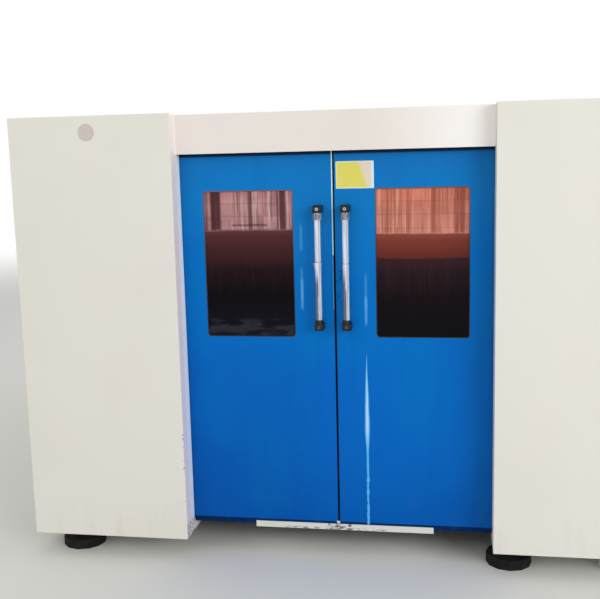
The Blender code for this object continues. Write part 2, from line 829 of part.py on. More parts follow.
def gate_cylinder(side, name, steel):
    """A cylinder open below for its rod, held to the wall at its top."""
    centre = (side * cylinder_place, cylinder_line)
    mesh = bmesh.new()
    add_turned(mesh, along_z, centre,
               [(cylinder_bore, cylinder_top - cylinder_end), (cylinder_bore, cylinder_foot),
                (cylinder_radius, cylinder_foot), (cylinder_radius, cylinder_top)], small_sides)
    barrel = piece(name, mesh, steel, (*centre, cylinder_foot))
    smooth(barrel)
    mesh = bmesh.new()
    half = cylinder_radius + cylinder_mount_rim
    add_box(mesh, (centre[0] - half, centre[0] + half), (cylinder_line - half, rear_wall_front - seat),
            (cylinder_top - weld, cylinder_top + cylinder_mount_height))
    fuse(barrel, mesh, name + "_mount")


def add_foot(mesh, x, y, top, radius):
    """A machine mount: a wide pad, a taper and the stud up to the frame."""
    pad = top * foot_pad_share
    neck = radius * foot_neck_share
    add_turned(mesh, along_z, (x, y), [(radius, 0), (radius, pad), (neck, pad * (1 + foot_neck_share)),
                                       (neck, top)], small_sides)


def front_feet(rubber, rail):
    """The mounts under the front covers, of which the right rail carries a second one."""
    for name, x in (("left_front_foot", -foot_place_outer), ("right_front_foot", foot_place_inner)):
        mesh = bmesh.new()
        add_foot(mesh, x, front_foot_line, floor_clearance - seat, enclosure_foot_radius)
        smooth(piece(name, mesh, rubber, (x, front_foot_line, 0)))
    mesh = bmesh.new()
    add_foot(mesh, foot_place_outer, front_foot_line, floor_clearance + weld, enclosure_foot_radius)
    fuse(rail, mesh, "right_outer_foot")


def bed(grey, steel):
    """The welded bed: side beams with the pallet ledge, cross tubes, racks and feet, and its two rails."""
    outline = [(-bed_foot_half, bed_foot_height), (bed_foot_half, bed_foot_height),
               (bed_foot_half, bed_foot_height + bed_foot_plate), (bed_web_half, bed_foot_height + bed_foot_plate),
               (bed_web_half, bed_top - bed_cap_plate), (bed_cap_half, bed_top - bed_cap_plate),
               (bed_cap_half, bed_top), (-bed_cap_half, bed_top), (-bed_cap_half, bed_top - bed_cap_plate),
               (-bed_web_half, bed_top - bed_cap_plate), (-bed_web_half, ledge_top), (-ledge_reach, ledge_top),
               (-ledge_reach, ledge_top - ledge_thickness), (-bed_web_half, ledge_top - ledge_thickness),
               (-bed_web_half, bed_foot_height + bed_foot_plate), (-bed_foot_half, bed_foot_height + bed_foot_plate)]
    outline = [(bed_beam_centre + point[0], point[1]) for point in outline]
    mesh = bmesh.new()
    for side in (-1, 1):
        add_profile(mesh, turned_out(side, outline), along_y, (bed_front, bed_back))
    frame = piece("bed_frame", mesh, grey, (0, bed_front, bed_foot_height))
    reach = bed_beam_centre - bed_web_half + weld
    mesh = bmesh.new()
    for share in cross_tube_place_shares:
        y = bed_front + share * bed_length
        add_box(mesh, (-reach, reach), (y - cross_tube_size / 2, y + cross_tube_size / 2),
                (cross_tube_base, cross_tube_base + cross_tube_size))
    for side in (-1, 1):
        middle = side * (bed_beam_centre + rack_offset)
        half = rack_width / 2
        add_box(mesh, (middle - half, middle + half), (bed_front + weld, bed_back - weld),
                (bed_top - weld, bed_top + rack_width))
        for share in bed_foot_place_shares:
            add_foot(mesh, side * bed_beam_centre, bed_front + share * bed_length, bed_foot_height + weld,
                     foot_radius)
    fuse(frame, mesh, "bed_tubes_racks_and_feet")
    for side, name in ((-1, "left_y_rail"), (1, "right_y_rail")):
        middle = side * bed_beam_centre
        box_piece(name, (middle - y_rail_width / 2, middle + y_rail_width / 2), (bed_front, bed_back),
                  (bed_top + seat, bed_top + seat + y_rail_height), steel)


def pallet(grey, rust):
    """The cutting pallet: a frame, two notched combs and the saw-toothed slats that stand in them."""
    outer = rectangle((-pallet_half, pallet_half), (pallet_front, pallet_back))
    inset = pallet_half - pallet_tube
    inner = rectangle((-inset, inset), (pallet_front + pallet_tube, pallet_back - pallet_tube))
    mesh = bmesh.new()
    add_ring(mesh, outer, inner, (along_z(pallet_bottom), along_z(pallet_bottom + pallet_tube_height)))
    piece("pallet_frame", mesh, grey, (0, pallet_front, pallet_bottom))
    places = [slat_first + index * slat_pitch for index in range(slat_count)]
    base = pallet_bottom + comb_rise
    top = base + comb_height
    notch = slat_thickness / 2 + notch_clearance
    outline = [(pallet_front + pallet_tube + seat, base), (pallet_back - pallet_tube - seat, base),
               (pallet_back - pallet_tube - seat, top)]
    for place in places[::-1]:
        outline += [(place + notch, top), (place + notch, top - slat_seat),
                    (place - notch, top - slat_seat), (place - notch, top)]
    outline.append((pallet_front + pallet_tube + seat, top))
    mesh = bmesh.new()
    for side in (-1, 1):
        add_profile(mesh, outline, along_x, mirrored(side, (inset - seat - comb_thickness, inset - seat)))
    grid = piece("slat_grid", mesh, rust, (0, pallet_front, base))
    mesh = bmesh.new()
    for place in places:
        add_profile(mesh, slat_outline(inset - weld), along_y,
                    (place - slat_thickness / 2, place + slat_thickness / 2))
    fuse(grid, mesh, "slats")


def slat_outline(half):
    """A slat's outline across the machine: a straight foot and pointed teeth."""
    tip = slat_base + slat_height
    root = tip - tooth_height
    count = int((2 * half) / tooth_pitch)
    first = -count * tooth_pitch / 2
    points = [(-half, slat_base), (half, slat_base), (half, root)]
    for index in range(count, 0, -1):
        edge = first + index * tooth_pitch
        points += [(edge, root), (edge - tooth_pitch / 2, tip)]
    points += [(first, root), (-half, root)]
    return points


def slag_trays(steel):
    """Two open hoppers that lie on the cross tubes under the slats."""
    base = cross_tube_base + cross_tube_size + seat
    top = pallet_bottom - tray_top_gap
    length = (pallet_length - 2 * pallet_tube - tray_gap) / 2
    for index, name in enumerate(("slag_tray_front", "slag_tray_rear")):
        start = pallet_front + pallet_tube + index * (length + tray_gap)
        wide = (rectangle((-tray_half, tray_half), (start, start + length)), top)
        narrow = (rectangle((-tray_half + tray_taper, tray_half - tray_taper),
                            (start + tray_taper, start + length - tray_taper)), base)
        wall = tray_wall
        wide_in = (rectangle((-tray_half + wall, tray_half - wall), (start + wall, start + length - wall)), top)
        narrow_in = (rectangle((-tray_half + tray_taper + wall, tray_half - tray_taper - wall),
                               (start + tray_taper + wall, start + length - tray_taper - wall)), base + wall)
        mesh = bmesh.new()
        add_skin(mesh, [[along_z(level)(point) for point in outline]
                        for outline, level in (narrow, wide, wide_in, narrow_in)])
        piece(name, mesh, steel, (0, start, base))


def gantry(grey, steel, black):
    """The beam with its end carriages and rack, the two drives and the cross rails."""
    body = carrier("gantry_carrier", (0, gantry_rest, bed_top))
    reach = bed_beam_centre + carriage_outer
    beam = box_piece("gantry_beam", (-reach, reach), (beam_front, beam_front + beam_depth),
                     (beam_bottom, beam_bottom + beam_height), grey, body)
    soften(beam, beam_radius)
    carriages = bmesh.new()
    low = bed_top + carriage_lift
    y = (gantry_rest - carriage_length / 2, gantry_rest + carriage_length / 2)
    rail = y_rail_width / 2 + seat
    roof = bed_top + seat + y_rail_height + seat
    skirt = bed_top + skirt_clearance
    outside = rail + skirt_width
    outline = [(-carriage_inner, low), (-outside, low), (-outside, skirt), (-rail, skirt), (-rail, roof),
               (rail, roof), (rail, skirt), (outside, skirt), (outside, low), (carriage_outer - weld, low),
               (carriage_outer - weld, beam_bottom + weld), (-carriage_inner, beam_bottom + weld)]
    outline = [(bed_beam_centre + point[0], point[1]) for point in outline]
    start = bed_beam_centre + carriage_outer - weld + seat
    base = bed_top + drive_lift
    half = motor_size / 2
    for side, name in ((-1, "left_y_drive"), (1, "right_y_drive")):
        add_profile(carriages, turned_out(side, outline), along_y, y)
        drive = box_piece(name, mirrored(side, (start, start + drive_width)),
                          (gantry_rest - drive_width / 2, gantry_rest + drive_width / 2),
                          (base, base + drive_height), black, body)
        middle = side * (start + drive_width / 2)
        foot = base + drive_height - weld
        motor = rounded((middle - half, middle + half), (gantry_rest - half, gantry_rest + half), motor_corner)
        mesh = bmesh.new()
        add_profile(mesh, motor, along_z, (foot, foot + motor_height))
        fuse(drive, mesh, name + "_motor")
    fuse(beam, carriages, "end_carriages")
    rack = bmesh.new()
    middle = beam_bottom + beam_height / 2
    add_box(rack, (-x_rail_half, x_rail_half), (beam_front - x_rack_size, beam_front + weld),
            (middle - x_rack_size / 2, middle + x_rack_size / 2))
    fuse(beam, rack, "x_rack")
    y = (beam_front - seat - x_rail_size, beam_front - seat)
    for name, middle in zip(("x_rail_lower", "x_rail_upper"), x_rail_heights()):
        box_piece(name, (-x_rail_half, x_rail_half), y,
                  (middle - x_rail_size / 2, middle + x_rail_size / 2), steel, body)
    return body


def x_rail_heights():
    return beam_bottom + x_rail_inset, beam_bottom + beam_height - x_rail_inset


def cross_carriage(grey, black, parent):
    """The plate on the cross rails with its blocks and motor, and the lifting housing."""
    body = carrier("carriage_carrier", (0, 0, 0))
    body.parent = parent
    body.location = Vector((0, plate_front, plate_bottom)) - parent.location
    mesh = bmesh.new()
    top = beam_bottom + beam_height + plate_top_rise
    plate_back = plate_front + plate_depth
    add_box(mesh, (-plate_half, plate_half), (plate_front, plate_back), (plate_bottom, top))
    plate = piece("x_carriage", mesh, grey, (0, plate_front, plate_bottom))
    world_place(plate, body)
    rail_front = beam_front - seat - x_rail_size
    rail_half = x_rail_size / 2 + seat
    half = rail_half + x_block_flange
    tail = beam_front - x_block_flange / 2
    mesh = bmesh.new()
    for middle in x_rail_heights():
        outline = [(plate_back - weld, middle - half), (tail, middle - half), (tail, middle - rail_half),
                   (rail_front - seat, middle - rail_half), (rail_front - seat, middle + rail_half),
                   (tail, middle + rail_half), (tail, middle + half), (plate_back - weld, middle + half)]
        for side in (-1, 1):
            add_profile(mesh, outline, along_x,
                        mirrored(side, (plate_half - weld - x_block_length, plate_half - weld)))
    add_box(mesh, (-x_motor_half, x_motor_half), (plate_front + weld, plate_front + x_motor_reach),
            (top - weld, top + x_motor_height))
    fuse(plate, mesh, "x_blocks_and_motor")
    mesh = bmesh.new()
    y = (housing_front, plate_front - seat)
    add_profile(mesh, rounded((-housing_half, housing_half), y, housing_corner), along_z, (plate_bottom, housing_top))
    housing = piece("z_housing", mesh, black, (0, housing_front, plate_bottom))
    world_place(housing, body)
    middle = sum(y) / 2
    outline = rounded((-z_motor_half, z_motor_half), (middle - z_motor_half, middle + z_motor_half), motor_corner)
    mesh = bmesh.new()
    add_profile(mesh, outline, along_z, (housing_top - weld, housing_top + z_motor_height))
    fuse(housing, mesh, "z_motor")
    return body


def world_place(body, parent):
    """Hang a piece that stands at its world place on a carrier that hangs on another."""
    origin = parent.location.copy()
    above = parent.parent
    while above:
        origin += above.location
        above = above.parent
    body.location = body.location - origin
    body.parent = parent


def cutting_head(steel, brass, parent):
    """The slide on the housing with the laser head and its nozzle."""
    low = plate_bottom - slide_drop
    body = carrier("head_carrier", (0, 0, 0))
    body.parent = parent
    body.location = Vector((0, head_axis - plate_front, low - plate_bottom))
    mesh = bmesh.new()
    add_box(mesh, (-slide_half, slide_half), (slide_front, slide_front + slide_depth), (low, low + slide_length))
    world_place(piece("head_slide", mesh, steel, (0, slide_front, low)), body)
    tip = low - head_drop
    collar = tip + head_cone + head_cone
    shoulder = tip + head_length
    plug = shoulder + nozzle_shoulder
    mesh = bmesh.new()
    add_turned(mesh, along_z, (0, head_axis),
               [(nozzle_radius, tip), (head_neck, tip + head_cone), (head_neck, collar), (head_radius, collar),
                (head_radius, shoulder), (head_neck, plug), (head_neck, plug + head_cone)])
    head = piece("cutting_head", mesh, steel, (0, head_axis, low))
    smooth(head)
    world_place(head, body)
    mesh = bmesh.new()
    add_box(mesh, (-head_neck, head_neck), (head_axis, slide_front - seat), (low + head_cone, shoulder - head_cone))
    fuse(head, mesh, "head_clamp")
    mesh = bmesh.new()
    add_turned(mesh, along_z, (0, head_axis), [(nozzle_tip, tip - nozzle_length),
                                               (nozzle_radius, tip - nozzle_shoulder), (nozzle_radius, tip - seat)])
    nozzle = piece("nozzle", mesh, brass, (0, head_axis, tip))
    smooth(nozzle)
    world_place(nozzle, body)


def clear_scene():
    for item in list(bpy.context.scene.objects):
        bpy.data.objects.remove(item, do_unlink=True)


def build():
    clear_scene()
    finishes = {
        "cover_white": paint("cover_white", (0.78, 0.75, 0.68), 0.40),
        "header_cream": paint("header_cream", (0.80, 0.75, 0.69), 0.42),
        "door_blue": paint("door_blue", (0.01, 0.15, 0.50), 0.28),
        "filter_glass": paint("filter_glass", (0.03, 0.01, 0.01), 0.05),
        "black_plastic": paint("black_plastic", (0.02, 0.02, 0.02), 0.45),
        "bright_tube": paint("bright_tube", (0.70, 0.70, 0.72), 0.25, 1.0),
        "steel": paint("steel", (0.42, 0.43, 0.45), 0.35, 1.0),
        "frame_grey": paint("frame_grey", (0.30, 0.31, 0.33), 0.50),
        "rubber": paint("rubber", (0.015, 0.015, 0.015), 0.80),
        "slat_steel": paint("slat_steel", (0.20, 0.13, 0.09), 0.75, 0.6),
        "brass": paint("brass", (0.72, 0.48, 0.20), 0.30, 1.0),
    }
    white, steel, grey = finishes["cover_white"], finishes["steel"], finishes["frame_grey"]
    front_cover(-1, "left_front_cover", white)
    front_cover(1, "right_front_cover", white)
    header_cover(finishes["header_cream"])
    front_wall(finishes["door_blue"])
    base_rail(-1, "left_base_rail", white)
    front_feet(finishes["rubber"], base_rail(1, "right_base_rail", white))
    sill_guide(white)
    door_track(steel)
    sliding_door(-1, "left_door", finishes)
    right = sliding_door(1, "right_door", finishes)
    meeting_seal(finishes["rubber"], right)
    side_panels(-1, "left_side_panel", white)
    side_panels(1, "right_side_panel", white)
    roof_panels(white)
    rear_wall(white)
    dust_collar(steel)
    rear_gate(white)
    gate_cylinder(-1, "left_gate_cylinder", steel)
    gate_cylinder(1, "right_gate_cylinder", steel)
    rear_cabinet(-1, "electrical_cabinet", white)
    rear_cabinet(1, "laser_cabinet", white)
    cabinet_door(-1, "electrical_door", white)
    cabinet_door(1, "laser_door", white)
    drive_modules(-1, grey)
    laser_source(1, grey)
    bed(grey, steel)
    pallet(grey, finishes["slat_steel"])
    slag_trays(steel)
    beam = gantry(grey, steel, finishes["black_plastic"])
    carriage = cross_carriage(grey, finishes["black_plastic"], beam)
    cutting_head(steel, finishes["brass"], carriage)


build()
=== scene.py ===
import math
import bmesh
import bpy
from mathutils import Matrix, Vector


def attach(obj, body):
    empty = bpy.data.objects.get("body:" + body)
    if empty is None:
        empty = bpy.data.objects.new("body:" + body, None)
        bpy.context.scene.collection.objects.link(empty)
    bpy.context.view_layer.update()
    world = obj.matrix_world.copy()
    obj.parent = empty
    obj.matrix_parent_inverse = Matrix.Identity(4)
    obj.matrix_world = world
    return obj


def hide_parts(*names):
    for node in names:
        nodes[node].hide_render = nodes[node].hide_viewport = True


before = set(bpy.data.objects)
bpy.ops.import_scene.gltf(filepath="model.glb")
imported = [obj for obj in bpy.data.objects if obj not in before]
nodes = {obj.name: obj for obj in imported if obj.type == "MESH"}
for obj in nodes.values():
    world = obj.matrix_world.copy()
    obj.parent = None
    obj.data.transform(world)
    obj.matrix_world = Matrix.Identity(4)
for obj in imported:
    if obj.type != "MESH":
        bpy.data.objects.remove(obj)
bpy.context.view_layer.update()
bpy.context.scene.view_settings.view_transform = "Standard"
print("frame loaded:", len(nodes), "nodes")


# camera, floor and light

cameraSettings = {"place": (0.5045, -6.153, 1.799), "yaw": 9.683, "pitch": -8.715, "roll": -1.404,
                  "lens": 53.8, "reach": 100}


def setCamera(settings):
    camera = bpy.data.objects.new("photoCamera", bpy.data.cameras.new("photoCamera"))
    bpy.context.scene.collection.objects.link(camera)
    camera.data.lens = settings["lens"]
    camera.data.clip_end = settings["reach"]
    turn = Matrix.Rotation(math.radians(settings["yaw"]), 4, "Z")
    turn @= Matrix.Rotation(math.radians(90 + settings["pitch"]), 4, "X")
    turn @= Matrix.Rotation(math.radians(settings["roll"]), 4, "Z")
    camera.matrix_world = Matrix.Translation(settings["place"]) @ turn
    bpy.context.scene.camera = camera


setCamera(cameraSettings)


def paint(red, green, blue):  # a colour as it is read off a paint chart, 0 to 255
    channels = [value / 255 for value in (red, green, blue)]
    return [c / 12.92 if c <= 0.04045 else ((c + 0.055) / 1.055) ** 2.4 for c in channels] + [1.0]


def addNode(tree, kind, settings, inputs, output=0):
    node = tree.nodes.new("ShaderNode" + kind)
    for key, value in settings.items():
        setattr(node, key, value)
    for key, value in inputs.items() if isinstance(inputs, dict) else enumerate(inputs):
        if isinstance(value, bpy.types.NodeSocket):
            tree.links.new(value, node.inputs[key])
        else:
            node.inputs[key].default_value = value
    return node.outputs[output]


def maths(tree, operation, first, second=0.0):
    return addNode(tree, "Math", {"operation": operation}, [first, second])


def times(tree, *values):
    product = values[0]
    for value in values[1:]:
        product = maths(tree, "MULTIPLY", product, value)
    return product


def awayFrom(tree, value, middle):
    return maths(tree, "ABSOLUTE", maths(tree, "SUBTRACT", value, middle))


def mixColours(tree, factor, first, second):
    return addNode(tree, "Mix", {"data_type": "RGBA"}, {0: factor, 6: first, 7: second}, 2)


def rampUp(tree, value, low, high):  # 0 below low, 1 above high, smooth between them
    return addNode(tree, "MapRange", {"interpolation_type": "SMOOTHSTEP"}, [value, low, high, 0.0, 1.0])


def rampDown(tree, value, low, high):
    return maths(tree, "SUBTRACT", 1.0, rampUp(tree, value, low, high))


def rescale(tree, value, low, high, newLow=0.0, newHigh=1.0):
    return addNode(tree, "MapRange", {}, [value, low, high, newLow, newHigh])


def noiseField(tree, place, scale, detail=3.0, stretch=(1, 1, 1)):
    spot = addNode(tree, "Mapping", {}, {"Vector": place, "Scale": stretch})
    return addNode(tree, "TexNoise", {}, {"Vector": spot, "Scale": scale, "Detail": detail})


def patch(tree, axes, soft, **limits):  # 1 inside the limits along each axis, fading out over soft
    masks = []
    for axis, (low, high) in limits.items():
        masks += [rampUp(tree, axes[axis], low - soft, low), rampDown(tree, axes[axis], high, high + soft)]
    return times(tree, *masks)


def gradient(tree, value, stops):  # stops: place from 0 to 1, then the colour there
    ramp = tree.nodes.new("ShaderNodeValToRGB")
    ramp.color_ramp.interpolation = "EASE"
    while len(ramp.color_ramp.elements) < len(stops):
        ramp.color_ramp.elements.new(0.5)
    for element, (position, colour) in zip(ramp.color_ramp.elements, stops):
        element.position, element.color = position, paint(*colour)
    tree.links.new(value, ramp.inputs["Fac"])
    return ramp.outputs["Color"]


def stain(tree, colour, stainColour, amount, *masks):
    return mixColours(tree, times(tree, *masks, amount), colour, paint(*stainColour))


# every finish is a dictionary: the shader's own values, then layers of colour laid over each other
# a layer may be broken up by noise (scale, detail, band, stretch) and kept above, below or within limits

def startMaterial(name, finish):
    material = bpy.data.materials.new(name)
    material.use_nodes = True
    tree = material.node_tree
    shader = tree.nodes["Principled BSDF"]
    shader.inputs["Base Color"].default_value = paint(*finish["colour"])
    shader.inputs["Roughness"].default_value = finish["roughness"]
    shader.inputs["Metallic"].default_value = finish.get("metallic", 0.0)
    shader.inputs["Specular IOR Level"].default_value = finish.get("specular", 0.5)
    place = addNode(tree, "TexCoord", {}, {}, "Object")
    split = tree.nodes.new("ShaderNodeSeparateXYZ")
    tree.links.new(place, split.inputs[0])
    return material, tree, shader, place, dict(zip("xyz", split.outputs))


def addLayers(tree, place, axes, colour, layers):
    for layer in layers:
        masks = [rampUp(tree, axes[axis], *ends) for axis, ends in layer.get("above", {}).items()]
        masks += [rampDown(tree, axes[axis], *ends) for axis, ends in layer.get("below", {}).items()]
        if "within" in layer:
            masks.append(patch(tree, axes, layer["soft"], **layer["within"]))
        if "scale" in layer:
            field = noiseField(tree, place, layer["scale"], layer["detail"], layer.get("stretch", (1, 1, 1)))
            masks.append(rampUp(tree, field, *layer["band"]))
        colour = stain(tree, colour, layer["colour"], layer["amount"], *masks)
    return colour


def endMaterial(tree, shader, place, colour, finish):  # joins the colour, the uneven gloss and the fine bumps
    stretch = finish.get("stretch", (1, 1, 1))
    tree.links.new(colour, shader.inputs["Base Color"])
    if "gloss" in finish:
        scale, less, more = finish["gloss"]
        field = noiseField(tree, place, scale, 3.0, stretch)
        gloss = rescale(tree, field, 0.3, 0.7, finish["roughness"] - less, finish["roughness"] + more)
        tree.links.new(gloss, shader.inputs["Roughness"])
    if "grain" in finish:
        scale, detail, depth = finish["grain"]
        height = noiseField(tree, place, scale, detail, stretch)
        bump = addNode(tree, "Bump", {}, {"Strength": 1.0, "Distance": depth, "Height": height})
        tree.links.new(bump, shader.inputs["Normal"])


def makeFinish(name, finish, ownAxes=None):
    material, tree, shader, place, axes = startMaterial(name, finish)
    if ownAxes:
        axes.update(ownAxes(tree, place, axes))
    colour = addLayers(tree, place, axes, paint(*finish.get("ground", finish["colour"])), finish["layers"])
    endMaterial(tree, shader, place, colour, finish)
    return material


broad = (6.0, 3.4)
studioLight = {
    "surround": 0.60, "floorSize": 60.0, "fade": (7.0, 16.0),
    "floor": {"colour": (226, 226, 222), "roughness": 0.7, "specular": 0.2},
    "lamps": {
        "frontLeftSoftbox": {"place": (-4.2, -8.5, 5.2), "aim": (-0.2, -2.3, 1.0), "size": broad,
                             "power": 80},
        "frontRightSoftbox": {"place": (7.4, -9.4, 4.0), "aim": (0.0, -2.3, 1.0), "size": broad,
                              "power": 410},
        "backSoftbox": {"place": (2.5, 8.5, 5.0), "aim": (0.0, 2.3, 1.0), "size": broad, "power": 150},
        "topSoftbox": {"place": (0.0, 0.0, 7.5), "aim": (0.0, 0.0, 0.0), "size": (6.0, 8.0), "power": 90},
    },
}


def seenDirectly(tree):  # camera, mirror and glass rays see the plain white surround
    path = tree.nodes.new("ShaderNodeLightPath")
    seen = maths(tree, "MAXIMUM", path.outputs["Is Camera Ray"], path.outputs["Is Glossy Ray"])
    return maths(tree, "MAXIMUM", seen, path.outputs["Is Transmission Ray"])


def setStudio(settings):
    white = (1.0, 1.0, 1.0, 1.0)
    world = bpy.data.worlds.new("studioSurround")
    world.use_nodes = True
    bpy.context.scene.world = world
    tree = world.node_tree
    level = mixColours(tree, seenDirectly(tree), [settings["surround"]] * 3 + [1.0], white)
    tree.links.new(level, tree.nodes["Background"].inputs["Color"])

    bpy.ops.mesh.primitive_plane_add(size=settings["floorSize"])
    floor = bpy.context.object
    floor.name = "studioFloor"
    material, tree, shader, place, axes = startMaterial("paleFloor", settings["floor"])
    distance = addNode(tree, "VectorMath", {"operation": "LENGTH"}, [place], "Value")
    far = times(tree, rampUp(tree, distance, *settings["fade"]), seenDirectly(tree))
    glow = addNode(tree, "Emission", {}, {"Color": white, "Strength": 1.0})
    blended = addNode(tree, "MixShader", {}, [far, shader.outputs[0], glow])
    tree.links.new(blended, tree.nodes["Material Output"].inputs["Surface"])
    floor.data.materials.append(material)

    for name, lamp in settings["lamps"].items():
        light = bpy.data.lights.new(name, "AREA")
        light.shape, light.energy = "RECTANGLE", lamp["power"]
        light.size, light.size_y = lamp["size"]
        holder = bpy.data.objects.new(name, light)
        bpy.context.scene.collection.objects.link(holder)
        holder.location = lamp["place"]
        holder.rotation_euler = (Vector(lamp["aim"]) - holder.location).to_track_quat("-Z", "Y").to_euler()


setStudio(studioLight)
print("camera, floor and light set")


# finishes: covers, guide, slats, drives, then the plain ones

grime = (150, 141, 124)
returnFace = dict(within=dict(x=(-0.6856, -0.6840), y=(-2.3975, -2.27)), soft=0.0003)  # beside the left door
coverTone = {
    "warmer": dict(colour=(226, 222, 209), amount=0.55, scale=1.4, detail=4.0, band=(0.42, 0.72)),
    "blush": dict(colour=(232, 222, 216), amount=0.35, scale=3.1, detail=3.0, band=(0.54, 0.68),
                  stretch=(1, 1, 0.7)),
}
headerTone = {
    **coverTone, "warmer": {**coverTone["warmer"], "colour": (231, 221, 212)},
    # painted light: the header's right part is painted lighter
    "paintedLightRight": dict(colour=(255, 252, 250), amount=0.75, above=dict(x=(0.1, 0.66))),
}
coverWearAndPaintedLight = {
    "runs": dict(colour=grime, amount=0.10, below=dict(z=(0.10, 0.34)), scale=22.0, detail=5.0,
                 band=(0.47, 0.70), stretch=(1, 1, 0.16)),
    "specks": dict(colour=grime, amount=0.30, scale=75.0, detail=2.0, band=(0.78, 0.82)),
    # the return has painted light: pinkish towards the front, a cold bright painted reflection at the back
    # and bluish painted light lower down; it is scuffed at its foot
    "returnFrontPaintedLight": dict(colour=(250, 234, 232), amount=1.0, **returnFace),
    "returnBackPaintedReflection": dict(colour=(255, 255, 255), amount=1.0, above=dict(y=(-2.345, -2.325)), **returnFace),
    "returnBluePaintedLight": dict(colour=(214, 230, 255), amount=0.25, below=dict(z=(0.5, 1.3)), **returnFace),
    "returnFoot": dict(colour=(112, 108, 100), amount=0.6, below=dict(z=(0.15, 0.19)), scale=70.0, detail=4.0,
                       band=(0.44, 0.52), **returnFace),
    "chips": dict(colour=(128, 112, 100), amount=0.7, scale=60.0, detail=3.0, band=(0.56, 0.62), soft=0.002,
                  within=dict(x=(-0.690, -0.6835), y=(-2.4005, -2.3965), z=(0.22, 0.62))),
}


def cover(tone, colour=(230, 228, 219), roughness=0.38, specular=0.3):
    layers = [*tone.values(), *coverWearAndPaintedLight.values()]
    return dict(colour=colour, roughness=roughness, specular=specular, layers=layers,
                gloss=(5.0, 0.05, 0.08), grain=(520.0, 2.0, 0.00006))


# a paint, plastic or metal with a second tone in it
def plain(colour, second, roughness, metallic=0.0, specular=0.5, scale=8.0, stretch=(1, 1, 1), amount=0.5,
          grain=300.0, depth=0.00008, band=(0.42, 0.68)):
    tone = dict(colour=second, amount=amount, scale=scale, detail=5.0, band=band, stretch=stretch)
    return dict(colour=colour, roughness=roughness, metallic=metallic, specular=specular, stretch=stretch,
                layers=[tone], gloss=(scale * 2.3, 0.0, 0.08), grain=(grain, 3.0, depth))


guideFinish = dict(colour=(214, 217, 214), ground=(222, 224, 218), roughness=0.42, specular=0.3, layers=[
    dict(colour=(52, 50, 52), amount=0.80, within=dict(x=(-0.050, 0.050)), soft=0.015, scale=52.0, detail=4.0,
         band=(0.50, 0.58), stretch=(1, 1, 2)),  # chipped where the leaves meet
    dict(colour=(98, 84, 78), amount=0.75, within=dict(x=(-0.24, 0.20)), soft=0.03,
         below=dict(z=(0.129, 0.138)), scale=34.0, detail=4.0, band=(0.46, 0.60), stretch=(1, 1, 3)),
    dict(colour=(140, 132, 122), amount=0.25, scale=30.0, detail=5.0, band=(0.52, 0.70), stretch=(0.3, 1, 3)),
], grain=(240.0, 3.0, 0.00012))
slatTeeth = dict(z=(0.790, 0.842))
slatFinish = dict(colour=(92, 86, 82), ground=(88, 84, 82), roughness=0.62, metallic=0.35, layers=[
    dict(colour=(112, 74, 50), amount=1.0, scale=16.0, detail=6.0, band=(0.44, 0.66)),  # rust
    dict(colour=(46, 40, 40), amount=0.7, above=slatTeeth),  # scorched
    dict(colour=(150, 140, 130), amount=0.6, above=slatTeeth, scale=95.0, detail=3.0,
         band=(0.60, 0.66)),  # dross
], grain=(110.0, 5.0, 0.0012))
driveCase = dict(y=(1.9086, 1.9092))  # the cases stand in front of a plated back plate
driveTone = dict(amount=1.0, scale=22.0, detail=4.0, band=(0.42, 0.62))
drivesFinish = dict(colour=(40, 42, 46), ground=(176, 178, 176), roughness=0.42, layers=[
    dict(colour=(150, 153, 154), **driveTone), dict(colour=(36, 38, 42), amount=1.0, above=driveCase),
    dict(colour=(46, 48, 52), above=driveCase, **driveTone),
], grain=(600.0, 2.0, 0.00005))

finishTable = {
    "coverPaint": cover(coverTone),
    "roofPaint": cover(coverTone, roughness=0.55, specular=0.05),  # duller, as dust leaves it
    "headerPaint": cover(headerTone, colour=(234, 228, 222)),
    "guideWhite": guideFinish, "scorchedSlat": slatFinish, "driveFinish": drivesFinish,
    "blackPlastic": plain((14, 14, 20), (28, 27, 34), 0.36, specular=0.35, scale=40.0, grain=900.0),
    "blackRubber": plain((22, 22, 24), (44, 42, 40), 0.75, specular=0.2, scale=18.0, grain=600.0),
    "brightTube": plain((206, 206, 210), (176, 176, 182), 0.16, 1.0, scale=14.0, stretch=(1, 1, 0.1),
                        grain=700.0),
    "frameGrey": plain((134, 140, 144), (112, 113, 112), 0.52, specular=0.3, scale=5.0, grain=260.0,
                       depth=0.0002),
    "sootyGrey": plain((104, 104, 104), (74, 66, 60), 0.66, 0.1, scale=7.0, grain=140.0, depth=0.0005,
                       amount=0.9),
    "groundSteel": plain((188, 190, 194), (150, 152, 156), 0.22, 1.0, scale=9.0, stretch=(1, 0.06, 1),
                         grain=420.0, depth=0.00004),
    "darkSteel": plain((74, 74, 76), (54, 52, 50), 0.45, 0.6, scale=12.0, grain=320.0),
    "zincSteel": plain((172, 174, 174), (140, 142, 144), 0.36, 0.85, scale=26.0, grain=380.0,
                       band=(0.48, 0.52)),
    "brassFinish": plain((198, 158, 92), (166, 118, 66), 0.24, 1.0, scale=60.0, grain=700.0),
    "anodised": plain((38, 40, 44), (52, 54, 58), 0.34, 0.6, scale=30.0, grain=900.0, depth=0.00003),
    "lightPlastic": plain((196, 199, 194), (178, 181, 176), 0.48, specular=0.35, scale=14.0, grain=800.0),
    "whiteDiffuser": plain((240, 241, 238), (226, 228, 226), 0.30, specular=0.4, scale=6.0, grain=900.0),
    "greenPlug": plain((44, 138, 84), (34, 112, 70), 0.44, specular=0.35, scale=60.0, grain=900.0),
    "signalRed": plain((186, 30, 28), (160, 26, 26), 0.34, specular=0.4, scale=30.0, grain=900.0),
    "signalYellow": plain((232, 190, 30), (214, 172, 26), 0.38, specular=0.4, scale=30.0, grain=900.0),
}
finishes = {name: makeFinish(name, finish) for name, finish in finishTable.items()}


# the doors' paint

